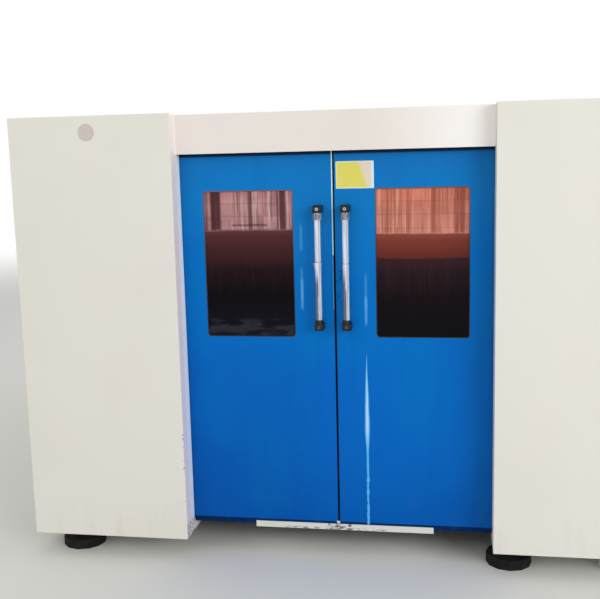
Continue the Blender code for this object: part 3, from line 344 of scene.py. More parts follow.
doorFinish = {
    "colour": (5, 100, 182), "roughness": 0.24, "specular": 0.07, "grain": (380.0, 2.0, 0.00005),
    "heights": (0.155, 1.870), "waver": (1.6, 3.0, 0.5),
    # painted light: the blue is painted lighter towards the top, where more light falls
    "rows": [(0.0, (0, 90, 178)), (0.3, (0, 102, 194)), (0.6, (0, 113, 198)), (0.85, (14, 121, 198)),
             (1.0, (20, 117, 192))],
    "under": {
        # painted shade: darker towards the far edges beside the cabinets
        "outerPaintedShade": dict(colour=(4, 50, 100), amount=0.18, above=dict(across=(0.60, 0.715))),
        # painted shade: the left leaf darker low down and towards the left
        "left": dict(colour=(0, 70, 158), amount=0.24, below=dict(x=(-0.25, 0.05), z=(0.2, 1.5))),
        "cloud": dict(colour=(0, 122, 186), amount=0.16, scale=5.5, detail=3.0, band=(0.46, 0.66),
                      stretch=(1, 1, 0.55)),
        "wiped": dict(colour=(0, 78, 160), amount=0.10, scale=16.0, detail=3.0, band=(0.52, 0.70),
                      stretch=(1, 1, 0.07)),
        # painted shadow under the header's lower edge; painted shade along the leaves' bottom edge
        "header": dict(colour=(3, 20, 46), amount=0.92, above=dict(z=(1.826, 1.834))),
        "foot": dict(colour=(2, 22, 62), amount=0.85, below=dict(z=(0.163, 0.168))),
        # painted light on the left leaf's folded edge: a painted highlight above the pulls' middle, a weaker
        # painted highlight lower down, and a painted shade line for the gap below it
        "litEdge": dict(colour=(206, 248, 255), amount=0.96, soft=0.0008,
                        within=dict(x=(-0.0078, -0.0030), z=(1.392, 1.875))),
        "thinEdgePaintedHighlight": dict(colour=(136, 198, 232), amount=0.38, soft=0.0008,
                         within=dict(x=(-0.0082, -0.0050), z=(1.150, 1.392))),
        "darkEdgePaintedShade": dict(colour=(4, 18, 44), amount=0.9, soft=0.0006,
                         within=dict(x=(-0.0046, -0.0030), z=(0.150, 1.388))),
    },
    # painted highlight: a pale streak down the right leaf along a dent, its ragged lower end a scratch
    "streak": {"x": 0.1346, "heights": (0.150, 0.925), "rise": (0.485, 0.635), "fall": (0.705, 0.965),
               "tail": (0.535, 0.755), "torn": (0.36, 0.42), "waver": 0.006, "colour": (98, 190, 246),
               "pale": (190, 226, 255), "amount": 0.92,
               "widths": {"least": 0.0008, "line": 0.0012, "heart": 0.0088, "tail": 0.0046, "torn": 0.0240}},
    # painted highlights along soft crease lines beside both pulls: place, lower and upper end, strength
    "creaseHighlights": [(-0.147, 1.21, 1.32, 0.28), (-0.147, 1.43, 1.51, 0.32), (-0.147, 1.17, 1.27, 0.52),
                (0.1355, 1.10, 1.19, 0.56), (0.1355, 1.17, 1.29, 0.28)],
    "creaseHighlightColour": (110, 186, 236), "creaseWidth": (0.0005, 0.0095), "creaseSoft": 0.03,
    "rubs": [dict(x=(0.008, 0.032), z=(1.275, 1.330)), dict(x=(0.010, 0.026), z=(1.185, 1.225))],
    "rub": dict(colour=(22, 36, 60), amount=0.42, soft=0.006, scale=85.0, detail=4.0, band=(0.51, 0.57),
                stretch=(1, 1, 0.8)),  # spots rubbed by the meeting line
    "splashes": dict(colour=(90, 104, 122), amount=0.08, below=dict(z=(0.16, 0.40)), scale=26.0, detail=5.0,
                     band=(0.54, 0.74), stretch=(1, 1, 0.2)),
}


def waveringHeight(tree, place, axes, finish):  # from 0 to 1 up the piece
    scale, detail, share = finish["waver"]
    waver = times(tree, maths(tree, "SUBTRACT", noiseField(tree, place, scale, detail), 0.5), share)
    return maths(tree, "ADD", rescale(tree, axes["z"], *finish["heights"]), waver)


def highlightStreakMask(tree, place, axes, streak):  # painted highlight streak down the right leaf, its ragged lower end a scratch: how strong, how pale
    widths = streak["widths"]
    swing = maths(tree, "SUBTRACT", noiseField(tree, place, 9.0, 4.0, (0, 0, 1)), 0.5)
    beside = maths(tree, "SUBTRACT", axes["x"], streak["x"])
    offset = awayFrom(tree, beside, times(tree, swing, streak["waver"]))
    heart = times(tree, rampUp(tree, axes["z"], *streak["rise"]), rampDown(tree, axes["z"], *streak["fall"]))
    ragged = maths(tree, "SUBTRACT", noiseField(tree, place, 48.0, 4.0, (0.35, 0.1, 1)), 0.5)
    parts = {"heart": heart, "tail": rampDown(tree, axes["z"], *streak["tail"]),
             "torn": times(tree, rampDown(tree, axes["z"], *streak["torn"]), ragged)}
    width = widths["line"]
    for name, part in parts.items():
        width = maths(tree, "ADD", width, times(tree, part, widths[name]))
    width = maths(tree, "MAXIMUM", width, widths["least"])
    share = maths(tree, "DIVIDE", offset, width)  # 0 on the run's middle line, 1 at its edge
    mask = times(tree, rampDown(tree, share, 0.45, 1.15), patch(tree, axes, 0.04, z=streak["heights"]),
                 rampUp(tree, axes["x"], 0.0, 0.002))
    return mask, times(tree, heart, rampDown(tree, share, 0.1, 0.8))


def makeDoorPaint(finish):
    material, tree, shader, place, axes = startMaterial("doorPaint", finish)
    axes["across"] = maths(tree, "ABSOLUTE", axes["x"])
    colour = gradient(tree, waveringHeight(tree, place, axes, finish), finish["rows"])
    colour = addLayers(tree, place, axes, colour, finish["under"].values())
    streak = finish["streak"]
    mask, pale = highlightStreakMask(tree, place, axes, streak)
    # the streak's colour: a painted highlight, ragged like a scratch at its foot
    run = mixColours(tree, pale, paint(*streak["colour"]), paint(*streak["pale"]))
    colour = mixColours(tree, times(tree, mask, streak["amount"]), colour, run)
    for middle, low, high, amount in finish["creaseHighlights"]:
        line = rampDown(tree, awayFrom(tree, axes["x"], middle), *finish["creaseWidth"])
        ends = patch(tree, axes, finish["creaseSoft"], z=(low, high))
        colour = stain(tree, colour, finish["creaseHighlightColour"], amount, line, ends)
    over = [{**finish["rub"], "within": limits} for limits in finish["rubs"]] + [finish["splashes"]]
    colour = addLayers(tree, place, axes, colour, over)
    endMaterial(tree, shader, place, colour, finish)
    return material


# the window panes: tinted sheets with a painted reflection of a bright hall above a dark floor in them

paneFinish = {
    "colour": (60, 36, 38), "roughness": 0.07, "specular": 0.07, "heights": (1.026, 1.681),
    "waver": (8.0, 2.0, 0.022), "horizonSoft": 0.012, "reflectedGridAmount": 0.58, "reflectedColumnEdge": (0.7, 1.2),
    "grid": {"Color1": (0, 0, 0, 1), "Color2": (0.55, 0.55, 0.55, 1), "Mortar": (1, 1, 1, 1), "Scale": 1.0,
             "Mortar Size": 0.0014, "Mortar Smooth": 0.6, "Brick Width": 0.105, "Row Height": 0.058},
}
# each pane's painted reflection: gradient rows, dark columns, horizon, streaks and marks
paneSides = {
    "left": {
        "rows": [(0.0, (20, 21, 32)), (0.12, (12, 11, 20)), (0.30, (8, 5, 12)), (0.44, (26, 12, 17)),
                 (0.58, (62, 30, 33)), (0.685, (80, 40, 43)), (0.722, (92, 50, 52)), (0.745, (186, 138, 140)),
                 (0.88, (204, 152, 154)), (1.0, (190, 130, 130))],
        "columns": [(-0.530, 0.024, 0.95), (-0.372, 0.009, 0.70), (-0.228, 0.013, 0.85),
                    (-0.250, 0.004, 0.70), (-0.575, 0.006, 0.45)],
        "deep": (74, 38, 42), "pale": (226, 196, 192), "horizon": 0.735, "streaks": 0.09, "barLevel": 0.765,
        "marks": [dict(colour=(58, 34, 36), amount=0.6, below=dict(bar=(0.004, 0.010)), soft=0.004,
                       within=dict(x=(-0.455, -0.300))),
                  dict(colour=(52, 52, 62), amount=0.6, soft=0.03, within=dict(z=(1.030, 1.088)), scale=9.0,
                       detail=3.0, band=(0.44, 0.58), stretch=(1, 0, 3.2))],
    },
    "right": {
        "rows": [(0.0, (10, 9, 14)), (0.25, (15, 9, 15)), (0.40, (30, 19, 26)), (0.525, (50, 28, 34)),
                 (0.545, (100, 42, 38)), (0.64, (122, 55, 44)), (0.69, (134, 68, 56)),
                 (0.705, (226, 152, 136)), (0.78, (222, 146, 130)), (1.0, (222, 134, 110))],
        "columns": [(0.432, 0.010, 0.55), (0.322, 0.005, 0.35), (0.232, 0.004, 0.40), (0.540, 0.022, 0.55)],
        "deep": (136, 66, 52), "pale": (244, 186, 160), "horizon": 0.700, "streaks": 0.045, "marks": [],
    },
}


def makePaneWithPaintedReflection(side, finish, look):
    material, tree, shader, place, axes = startMaterial(side + "FilterPane", finish)
    axes["level"] = waveringHeight(tree, place, axes, finish)
    horizon = (look["horizon"] - finish["horizonSoft"], look["horizon"] + finish["horizonSoft"])
    upper = rampUp(tree, axes["level"], *horizon)
    flat = tree.nodes.new("ShaderNodeCombineXYZ")  # x and height only, so the grid below lies in the pane
    tree.links.new(axes["x"], flat.inputs[0])
    tree.links.new(axes["z"], flat.inputs[1])
    lines = {"Vector": flat.outputs[0], **finish["grid"]}
    grid = addNode(tree, "TexBrick", {"offset": 0.0, "squash": 1.0}, lines)
    deep, pale = look["deep"], look["pale"]
    # painted reflection: the hall's gradient, a window grid, stripes and dark columns above its horizon, then
    # streaks and marks
    colour = gradient(tree, axes["level"], look["rows"])
    colour = stain(tree, colour, deep, finish["reflectedGridAmount"], grid, upper)
    stripes = dict(above=dict(level=horizon), detail=3.0)
    colour = addLayers(tree, place, axes, colour, [
        dict(colour=deep, amount=0.42, scale=85.0, band=(0.46, 0.60), stretch=(1, 0, 0.035), **stripes),
        dict(colour=pale, amount=0.50, scale=60.0, band=(0.56, 0.66), stretch=(1, 0, 0.035), **stripes),
        dict(colour=deep, amount=0.26, scale=11.0, band=(0.44, 0.64), stretch=(1, 0, 0.6), **stripes)])
    for middle, half, amount in look["columns"]:
        edge = [half * share for share in finish["reflectedColumnEdge"]]
        column = rampDown(tree, awayFrom(tree, axes["x"], middle), *edge)
        colour = stain(tree, colour, deep, amount, column, upper)
    if "barLevel" in look:
        axes["bar"] = awayFrom(tree, axes["level"], look["barLevel"])
    streaks = dict(colour=deep, amount=look["streaks"], above=dict(level=(0.05, 0.45)), scale=70.0,
                   detail=3.0, band=(0.45, 0.70), stretch=(1, 0, 0.06))
    colour = addLayers(tree, place, axes, colour, [streaks] + look["marks"])
    endMaterial(tree, shader, place, colour, finish)
    return material


finishes["doorPaint"] = makeDoorPaint(doorFinish)
for side, look in paneSides.items():
    finishes[side + "FilterPane"] = makePaneWithPaintedReflection(side, paneFinish, look)
print("finishes made:", len(finishes))

nodeFinishes = {
    "coverPaint": ("left_front_cover", "right_front_cover", "front_wall", "left_side_panel_front",
                   "left_side_panel_rear", "right_side_panel_front", "right_side_panel_rear", "rear_wall",
                   "electrical_cabinet", "laser_cabinet", "rear_gate", "electrical_door", "laser_door"),
    "headerPaint": ("header_cover",), "roofPaint": ("roof_front", "roof_rear"),
    "guideWhite": ("left_base_rail", "right_base_rail", "sill_guide"),
    "doorPaint": ("left_door_panel", "right_door_panel"),
    "leftFilterPane": ("left_door_window",), "rightFilterPane": ("right_door_window",),
    "blackRubber": ("left_front_foot", "right_front_foot", "left_door_window_frame",
                    "right_door_window_frame", "meeting_seal"),
    "brightTube": ("left_door_handle", "right_door_handle"),
    "blackPlastic": ("left_door_handle_foot", "left_door_handle_head", "right_door_handle_foot",
                     "right_door_handle_head", "z_housing"),
    "frameGrey": ("track_beam", "laser_source", "bed_frame", "gantry_beam", "x_carriage"),
    "groundSteel": ("door_rail", "left_y_rail", "right_y_rail", "x_rail_lower", "x_rail_upper", "head_slide"),
    "zincSteel": ("left_gate_cylinder", "right_gate_cylinder", "dust_collar", "left_door_hanger",
                  "right_door_hanger"),
    "sootyGrey": ("pallet_frame", "slag_tray_front", "slag_tray_rear"), "scorchedSlat": ("slat_grid",),
    "driveFinish": ("drive_modules",), "anodised": ("left_y_drive", "right_y_drive", "cutting_head"),
    "brassFinish": ("nozzle",),
}
for finish, names in nodeFinishes.items():
    for name in names:
        for slot in nodes[name].material_slots:
            slot.material = finishes[finish]
print("frame nodes finished:", sum(len(names) for names in nodeFinishes.values()))

finishSlots = {"coverPaint": "cover_white", "roofPaint": "cover_white", "blackPlastic": "black_plastic",
               "blackRubber": "rubber", "zincSteel": "steel", "groundSteel": "steel", "darkSteel": "steel",
               "brassFinish": "brass"}  # the frame's material that goes with a finish


# small modelling helpers

def deselectAll():
    if bpy.context.object and bpy.context.object.mode != "OBJECT":
        bpy.ops.object.mode_set(mode="OBJECT")
    bpy.ops.object.select_all(action="DESELECT")


def settle(name):  # puts the place, turn and size into the mesh
    piece = bpy.context.object
    bpy.ops.object.transform_apply(location=True, rotation=True, scale=True)
    piece.name = piece.data.name = name
    return piece


def addBlock(name, low, high):
    deselectAll()
    centre = [(a + b) / 2 for a, b in zip(low, high)]
    bpy.ops.mesh.primitive_cube_add(size=1, location=centre, scale=[b - a for a, b in zip(low, high)])
    return settle(name)


def addRound(name, centre, radius, depth, axis="Z", vertices=32, caps="NGON"):
    deselectAll()
    turn = {"X": (0, math.radians(90), 0), "Y": (math.radians(90), 0, 0), "Z": (0, 0, 0)}[axis]
    bpy.ops.mesh.primitive_cylinder_add(vertices=vertices, radius=radius, depth=depth, location=centre,
                                        rotation=turn, end_fill_type=caps)
    return settle(name)


def pick(piece, kind, test):  # opens edit mode with only the wanted faces, edges or vertices selected
    deselectAll()
    piece.select_set(True)
    bpy.context.view_layer.objects.active = piece
    bpy.ops.object.mode_set(mode="EDIT")
    bpy.ops.mesh.select_mode(type=kind)
    bpy.ops.mesh.select_all(action="DESELECT")
    mesh = bmesh.from_edit_mesh(piece.data)
    for part in {"VERT": mesh.verts, "EDGE": mesh.edges, "FACE": mesh.faces}[kind]:
        if test(part):
            part.select_set(True)
    bmesh.update_edit_mesh(piece.data)


def movePicked(shift):
    bpy.ops.transform.translate(value=shift)
    bpy.ops.object.mode_set(mode="OBJECT")


def bevelPicked(width, segments):
    bpy.ops.mesh.bevel(offset=width, segments=segments, affect="EDGES")
    bpy.ops.object.mode_set(mode="OBJECT")


def faceTowards(direction, limit=0.99):
    aim = Vector(direction)
    return lambda face: face.normal.dot(aim) > limit


def edgeAlong(direction):
    aim = Vector(direction)
    return lambda edge: abs((edge.verts[0].co - edge.verts[1].co).normalized().dot(aim)) > 0.99


def edgesOn(axis, *values):
    def lies(edge, value):
        return all(abs(vertex.co[axis] - value) < 1e-5 for vertex in edge.verts)
    return lambda edge: any(lies(edge, value) for value in values)


def recess(piece, direction, *levels):  # each level: an inset, then how deep the inner faces sink
    pick(piece, "FACE", faceTowards(direction))
    for inset, depth in levels:
        bpy.ops.mesh.inset(thickness=inset)
        if depth:
            bpy.ops.transform.translate(value=[-depth * part for part in direction])
    bpy.ops.object.mode_set(mode="OBJECT")


def smoothByAngle(piece, degrees=35):
    deselectAll()
    piece.select_set(True)
    bpy.context.view_layer.objects.active = piece
    bpy.ops.object.shade_smooth_by_angle(angle=math.radians(degrees))


def softBlock(name, low, high, edge, segments=2, smooth=True):
    block = addBlock(name, low, high)
    pick(block, "EDGE", lambda part: True)
    bevelPicked(edge, segments)
    if smooth:
        smoothByAngle(block)
    return block


# a cylinder between two points with its far edge bevelled, or both
def softRound(name, low, high, radius, edge, segments, axis="Z", vertices=24, bothEnds=False, smooth=True):
    index = "XYZ".index(axis)
    centre = [(a + b) / 2 for a, b in zip(low, high)]
    piece = addRound(name, centre, radius, high[index] - low[index], axis, vertices)
    pick(piece, "EDGE", edgesOn(index, high[index], *([low[index]] if bothEnds else [])))
    bevelPicked(edge, segments)
    if smooth:
        smoothByAngle(piece)
    return piece


def frameRing(name, low, high, axis, corner, width, lip, cornerSteps=6, lipSteps=2, bothFaces=True):
    ring = addBlock(name, low, high)  # becomes a flat ring along the edge of a rounded opening
    aim = [0, 0, 0]
    aim[axis] = 1
    pick(ring, "EDGE", edgeAlong(aim))
    bevelPicked(corner, cornerSteps)
    pick(ring, "FACE", lambda face: abs(face.normal[axis]) > 0.99)
    bpy.ops.mesh.inset(thickness=width)
    bpy.ops.mesh.bridge_edge_loops()
    bpy.ops.object.mode_set(mode="OBJECT")
    pick(ring, "EDGE", edgesOn(axis, low[axis], *([high[axis]] if bothFaces else [])))
    bevelPicked(lip, lipSteps)
    smoothByAngle(ring)
    return ring


def dress(piece, finish, body="enclosure", slot=None):
    piece.data.materials.clear()
    piece.data.materials.append(finishes[finish])
    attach(piece, body)
    slot = slot or finishSlots.get(finish)
    return piece


def copyTo(piece, name, shift):
    twin = piece.copy()
    twin.data = piece.data.copy()
    twin.name = twin.data.name = name
    twin.data.transform(Matrix.Translation(shift))
    bpy.context.scene.collection.objects.link(twin)
    return twin


def joinAs(name, pieces):
    deselectAll()
    for piece in pieces:
        piece.select_set(True)
    bpy.context.view_layer.objects.active = pieces[0]
    bpy.ops.object.join()
    joined = bpy.context.object
    joined.name = joined.data.name = name
    return joined


def turnTowards(piece, facing):  # from facing up
    piece.data.transform(Vector((0, 0, 1)).rotation_difference(Vector(facing)).to_matrix().to_4x4())
    return piece


def spread(name, master, spots, finish, body="enclosure", slot=None):  # copies of one small piece, joined
    copies = [copyTo(master, "%s_%d" % (name, index), spot) for index, spot in enumerate(spots)]
    bpy.data.objects.remove(master, do_unlink=True)
    return dress(joinAs(name, copies), finish, body, slot)


def steps(low, high, count):
    return [low + (high - low) * index / (count - 1) for index in range(count)]


def boxCorners(shape, sign):  # of a box on the left or the right
    return list(zip(sorted(sign * x for x in shape["x"]), shape["y"], shape["z"]))


def stud(name, sunk, height, radius, edge, vertices, segments=1):  # a round that stands up from z = 0
    return softRound(name, (0, 0, -sunk), (0, 0, height), radius, edge, segments, "Z", vertices, smooth=False)


# screws, plugs and fittings, made facing up and turned; each stands a little into what carries it

sheetScrew = {"radius": 0.0062, "height": 0.0030}
sides = {"left": -1, "right": 1}


def makeScrew(facing, radius, height):  # button head with a socket
    head = stud("screw", 0.0006, height, radius, height * 0.4, 12)
    recess(head, (0, 0, 1), (radius * 0.32, height * 0.5))
    smoothByAngle(head)
    return turnTowards(head, facing)


def makeCap(facing, radius, height, vertices=14):  # flat plug in a counterbore
    return turnTowards(stud("cap", 0.0004, height, radius, height * 0.5, vertices), facing)


def makeHexBolt(facing, across, height, washer):
    bolt = stud("bolt", -washer, washer + height, across / math.sqrt(3), height * 0.16, 6)
    disc = stud("washer", 0.0006, washer, across * 0.82, washer * 0.3, 20)
    return turnTowards(joinAs("hexBolt", [bolt, disc]), facing)


# label and badge, both bare

doorLabel = {
    "low": (0.0120, -2.2724, 1.6810), "high": (0.1766, -2.2720, 1.7980), "corner": 0.003,
    "finish": {"colour": (226, 217, 92), "roughness": 0.34, "specular": 0.3},
    "yellow": (227, 217, 96), "pale": (232, 216, 208), "slant": 0.34, "fade": (0.706, 0.738),
    "cloud": (216, 212, 140), "cloudAmount": 0.25, "cloudScale": 28.0,
    "border": (229, 231, 196), "field": {"x": (0.0165, 0.1665), "z": (1.6865, 1.7925)},
    "rim": (219, 236, 246), "rimFrom": (0.1660, 0.1675),
}
badgeCentre = (-1.062, -2.4, 1.948)
coverBadge = {
    "centre": badgeCentre, "radius": 0.0375, "thickness": 0.0007,
    "levels": ((0.003, -0.0004), (0.0006, 0.0003)),
    "finish": dict(colour=(206, 197, 190), roughness=0.35, specular=0.3, layers=[
        dict(colour=(122, 98, 92), amount=0.8, above=dict(radius=(0.0310, 0.0322)),
             below=dict(radius=(0.0352, 0.0364))),  # a plain ring
        dict(colour=(96, 80, 78), amount=0.75, below=dict(radius=(0.010, 0.016)), scale=120.0, detail=3.0,
             band=(0.40, 0.52)),  # the middle, rubbed
        dict(colour=(182, 170, 160), amount=0.35, scale=90.0, detail=4.0, band=(0.50, 0.66))]),
}


def makeLabelPrint(label):  # a bare label: yellow field, paler to the right, white border
    material, tree, shader, place, axes = startMaterial("bareLabel", label["finish"])
    slanted = maths(tree, "ADD", axes["x"], times(tree, axes["z"], label["slant"]))
    colour = stain(tree, paint(*label["yellow"]), label["pale"], 1.0, rampUp(tree, slanted, *label["fade"]))
    cloud = noiseField(tree, place, label["cloudScale"], 2.0)
    colour = stain(tree, colour, label["cloud"], label["cloudAmount"], cloud)
    colour = mixColours(tree, patch(tree, axes, 0.001, **label["field"]), paint(*label["border"]), colour)
    colour = stain(tree, colour, label["rim"], 1.0, rampUp(tree, axes["x"], *label["rimFrom"]))
    endMaterial(tree, shader, place, colour, label["finish"])
    return material


def makeLabel(label):
    plate = addBlock("door_label", label["low"], label["high"])
    pick(plate, "EDGE", edgeAlong((0, 1, 0)))
    bevelPicked(label["corner"], 4)
    dress(plate, "bareLabel", "right_door")


def badgeAxes(tree, place, axes):
    shift = {"Vector": place, "Location": [-value for value in badgeCentre], "Scale": (1, 0, 1)}
    centred = addNode(tree, "Mapping", {}, shift)
    return {"radius": addNode(tree, "VectorMath", {"operation": "LENGTH"}, [centred], "Value")}


def makeBadge(badge):
    x, y, z = badge["centre"]
    centre = (x, y - badge["thickness"] / 2, z)
    disc = addRound("cover_badge", centre, badge["radius"], badge["thickness"], "Y", 64)
    recess(disc, (0, -1, 0), *badge["levels"])
    dress(disc, "badgePrint")


finishes["bareLabel"] = makeLabelPrint(doorLabel)
finishes["badgePrint"] = makeFinish("badgePrint", coverBadge["finish"], badgeAxes)
makeLabel(doorLabel)
makeBadge(coverBadge)
print("label and badge placed")


# window gaskets

gasket = {
    "x": (0.1802, 0.5848), "y": (-2.2728, -2.2680), "z": (1.0262, 1.6808), "corner": 0.0158, "width": 0.0042,
    "lip": 0.0012,
    "finish": dict(colour=(40, 36, 40), roughness=0.42, specular=0.3, layers=[
        dict(colour=(62, 54, 56), amount=0.4, scale=30.0, detail=4.0, band=(0.40, 0.66)),
        dict(colour=(142, 104, 100), amount=0.7, above=dict(z=(1.30, 1.66)))]),  # painted light: lighter and pinkish higher up
}


def makeGasket(side, sign, shape):
    low, high = boxCorners(shape, sign)
    ring = frameRing(side + "_window_gasket", low, high, 1, shape["corner"], shape["width"], shape["lip"],
                     8, 3, False)
    dress(ring, "gasketRubber", side + "_door")


finishes["gasketRubber"] = makeFinish("gasketRubber", gasket["finish"])
for side, sign in sides.items():
    makeGasket(side, sign, gasket)
print("window gaskets fitted")


# pulls: brackets with a socket, ring screws, wrinkled film

pulls = {
    "left": {"x": -0.066, "tear": 1.368, "flare": 0.0062},
    "right": {"x": 0.055, "tear": 1.360, "flare": 0.0012},
}
pullShape = {"y": -2.319, "tubeRadius": 0.0135, "screwHeights": {"head": 1.5965, "foot": 1.0805},
             "noseFront": -2.338}
filmShape = {
    "gap": 0.0003, "thickness": 0.0002, "bottom": 1.113, "tearGap": 0.003, "flareReach": 0.045, "step": 0.004,
    "bunch": (1.551, 1.5815), "bunchRadius": 0.0172, "overlap": 0.004,
    "wrinkles": {"upper": (0.0010, 0.016), "lower": (0.0010, 0.014), "bunch": (0.0040, 0.005)},
}
bracketShape = {"half": 0.019, "back": -2.2723, "ends": {"head": (1.581, 1.612), "foot": (1.065, 1.096)},
                "crown": 0.013, "edge": 0.0028, "socketRadius": 0.0168, "socketLength": 0.0165, "sunk": 0.002,
                "dishRim": 0.0025, "dish": 0.0012, "socketEdge": 0.0012}
ringScrew = {"radius": 0.0066, "depth": 0.0030, "sunk": 0.0004,
             "levels": ((0.0007, -0.0008), (0.0022, 0), (0.0002, 0.0022))}
screwCapFinish = dict(colour=(226, 228, 232), roughness=0.22, metallic=0.6, layers=[
    dict(colour=(52, 54, 64), amount=0.85, below=dict(z=(1.25, 1.35))),  # the feet's rims are blackened
    dict(colour=(16, 16, 20), amount=1.0, above=dict(y=(-2.3378, -2.3372)))])  # painted shade in the socket
lowFilmReflection = dict(z=(1.26, 1.34))
filmLines = (1, 1, 0.10)
filmFinish = dict(colour=(222, 220, 226), ground=(226, 232, 248), roughness=0.24, layers=[
    dict(colour=(146, 150, 170), amount=0.35, scale=75.0, detail=4.0, band=(0.44, 0.62), stretch=filmLines),
    # painted shade: a grey band down the right side and darker flanks, where the tube turns from the light
    dict(colour=(112, 118, 138), amount=0.62, above=dict(across=(0.20, 0.42)),
         below=dict(across=(0.55, 0.80))),
    dict(colour=(88, 92, 110), amount=0.75, above=dict(rim=(0.78, 0.98))),
    # painted reflection: dark on the left low down, with a broken pinkish reflected line in it
    dict(colour=(84, 82, 98), amount=0.88, below=dict(across=(-0.25, 0.0), **lowFilmReflection)),
    dict(colour=(74, 56, 66), amount=0.92, below=dict(line=(0.08, 0.26), **lowFilmReflection), scale=90.0, detail=3.0,
         band=(0.36, 0.52), stretch=filmLines),
], stretch=(1, 1, 0.12), grain=(110.0, 3.0, 0.0006))


def makeFilm(name, middle):
    def filmAxes(tree, place, axes):  # across the tube: -1 at its left flank, 1 at its right
        across = maths(tree, "DIVIDE", maths(tree, "SUBTRACT", axes["x"], middle), pullShape["tubeRadius"])
        line = awayFrom(tree, across, -0.05)
        return {"across": across, "rim": maths(tree, "ABSOLUTE", across), "line": line}
    return makeFinish(name, filmFinish, filmAxes)


def wrapTube(name, x, low, high, radius, wrinkles, flare=0.0):
    y, shape = pullShape["y"], filmShape
    sleeve = addRound(name, (x, y, (low + high) / 2), radius, high - low, "Z", 40, "NOTHING")
    pick(sleeve, "EDGE", edgeAlong((0, 0, 1)))
    bpy.ops.mesh.subdivide(number_cuts=max(10, int((high - low) / shape["step"])))
    bpy.ops.object.mode_set(mode="OBJECT")
    if flare:  # the loose torn end stands off the tube, more to the left
        pick(sleeve, "VERT", lambda vertex: vertex.co.z > high - 1e-4)
        grow = 1 + flare / radius
        bpy.ops.transform.resize(value=(grow, grow, 1), center_override=(x + radius * 0.6, y, high),
                                 use_proportional_edit=True, proportional_size=shape["flareReach"])
        bpy.ops.object.mode_set(mode="OBJECT")
    texture = bpy.data.textures.new(name + "Wrinkles", "CLOUDS")
    rough = sleeve.modifiers.new("wrinkles", "DISPLACE")
    rough.strength, texture.noise_scale = wrinkles
    rough.texture, texture.noise_depth = texture, 2
    rough.mid_level, rough.texture_coords = 0.35, "LOCAL"
    wall = sleeve.modifiers.new("wall", "SOLIDIFY")
    wall.thickness, wall.offset = shape["thickness"], 1
    for modifier in ("wrinkles", "wall"):
        bpy.ops.object.modifier_apply(modifier=modifier)
    smoothByAngle(sleeve, 60)
    return sleeve


def makeBracket(side, end, x):  # a moulded block with one big rounded corner and a round socket for the tube
    shape, front, y = bracketShape, pullShape["noseFront"], pullShape["y"]
    low, high = shape["ends"][end]
    towards = 1 if end == "foot" else -1  # the way the socket looks, up or down
    block = addBlock("block", (x - shape["half"], front, low), (x + shape["half"], shape["back"], high))
    crown = low if end == "foot" else high
    pick(block, "EDGE", lambda edge: edgesOn(1, front)(edge) and edgesOn(2, crown)(edge))
    bevelPicked(shape["crown"], 6)
    back, corner = edgesOn(1, shape["back"]), math.radians(35)
    pick(block, "EDGE", lambda edge: not back(edge) and edge.calc_face_angle(0) > corner)
    bevelPicked(shape["edge"], 3)
    length, sunk, radius = shape["socketLength"], shape["sunk"], shape["socketRadius"]
    middle = (high if end == "foot" else low) + towards * (length / 2 - sunk)
    socket = addRound("socket", (x, y, middle), radius, length + 2 * sunk, "Z", 40)
    recess(socket, (0, 0, towards), (shape["dishRim"], shape["dish"]))
    mouth, tube = edgesOn(2, middle + towards * (length / 2 + sunk)), Vector((x, y))
    pick(socket, "EDGE", lambda edge: mouth(edge)
         and all((vertex.co.xy - tube).length > radius - 0.0005 for vertex in edge.verts))
    bevelPicked(shape["socketEdge"], 3)
    for piece, name in ((block, "%s_pull_%s" % (side, end)), (socket, "%s_pull_%s_collar" % (side, end))):
        piece.name = piece.data.name = name
        smoothByAngle(piece, 40)
        dress(piece, "blackPlastic", side + "_door")
    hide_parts("%s_door_handle_%s" % (side, end))


def makeRingScrew(name, x, height, body):
    centre = (x, pullShape["noseFront"] + ringScrew["sunk"], height)
    screw = addRound(name, centre, ringScrew["radius"], ringScrew["depth"], "Y", 32)
    recess(screw, (0, -1, 0), *ringScrew["levels"])
    smoothByAngle(screw)
    dress(screw, "screwCap", body)


def makePull(side, pull):
    shape, x, body, tear = filmShape, pull["x"], side + "_door", pull["tear"]
    finishes[side + "Film"] = makeFilm(side + "Film", x)
    radius, half = pullShape["tubeRadius"] + shape["gap"], shape["tearGap"] / 2
    parts = {
        "upper": (side + "Film", tear + half, shape["bunch"][0] + shape["overlap"], radius, 0.0),
        "lower": (side + "Film", shape["bottom"], tear - half, radius, pull["flare"]),
        "bunch": ("bunchedFilm", *shape["bunch"], shape["bunchRadius"], 0.0),
    }
    for part, (finish, low, high, size, flare) in parts.items():
        sleeve = wrapTube("%s_film_%s" % (side, part), x, low, high, size, shape["wrinkles"][part], flare)
        dress(sleeve, finish, body)
    for end, height in pullShape["screwHeights"].items():
        makeBracket(side, end, x)
        makeRingScrew("%s_%s_screw" % (side, end), x, height, body)


finishes["screwCap"] = makeFinish("screwCap", screwCapFinish)
finishes["bunchedFilm"] = makeFinish("bunchedFilm", plain((150, 148, 152), (66, 62, 68), 0.34, scale=110.0,
                                                          grain=420.0, amount=0.9))
for side, pull in pulls.items():
    makePull(side, pull)
print("pulls dressed")


# long sides and roof: access covers, latches, louvres, screws

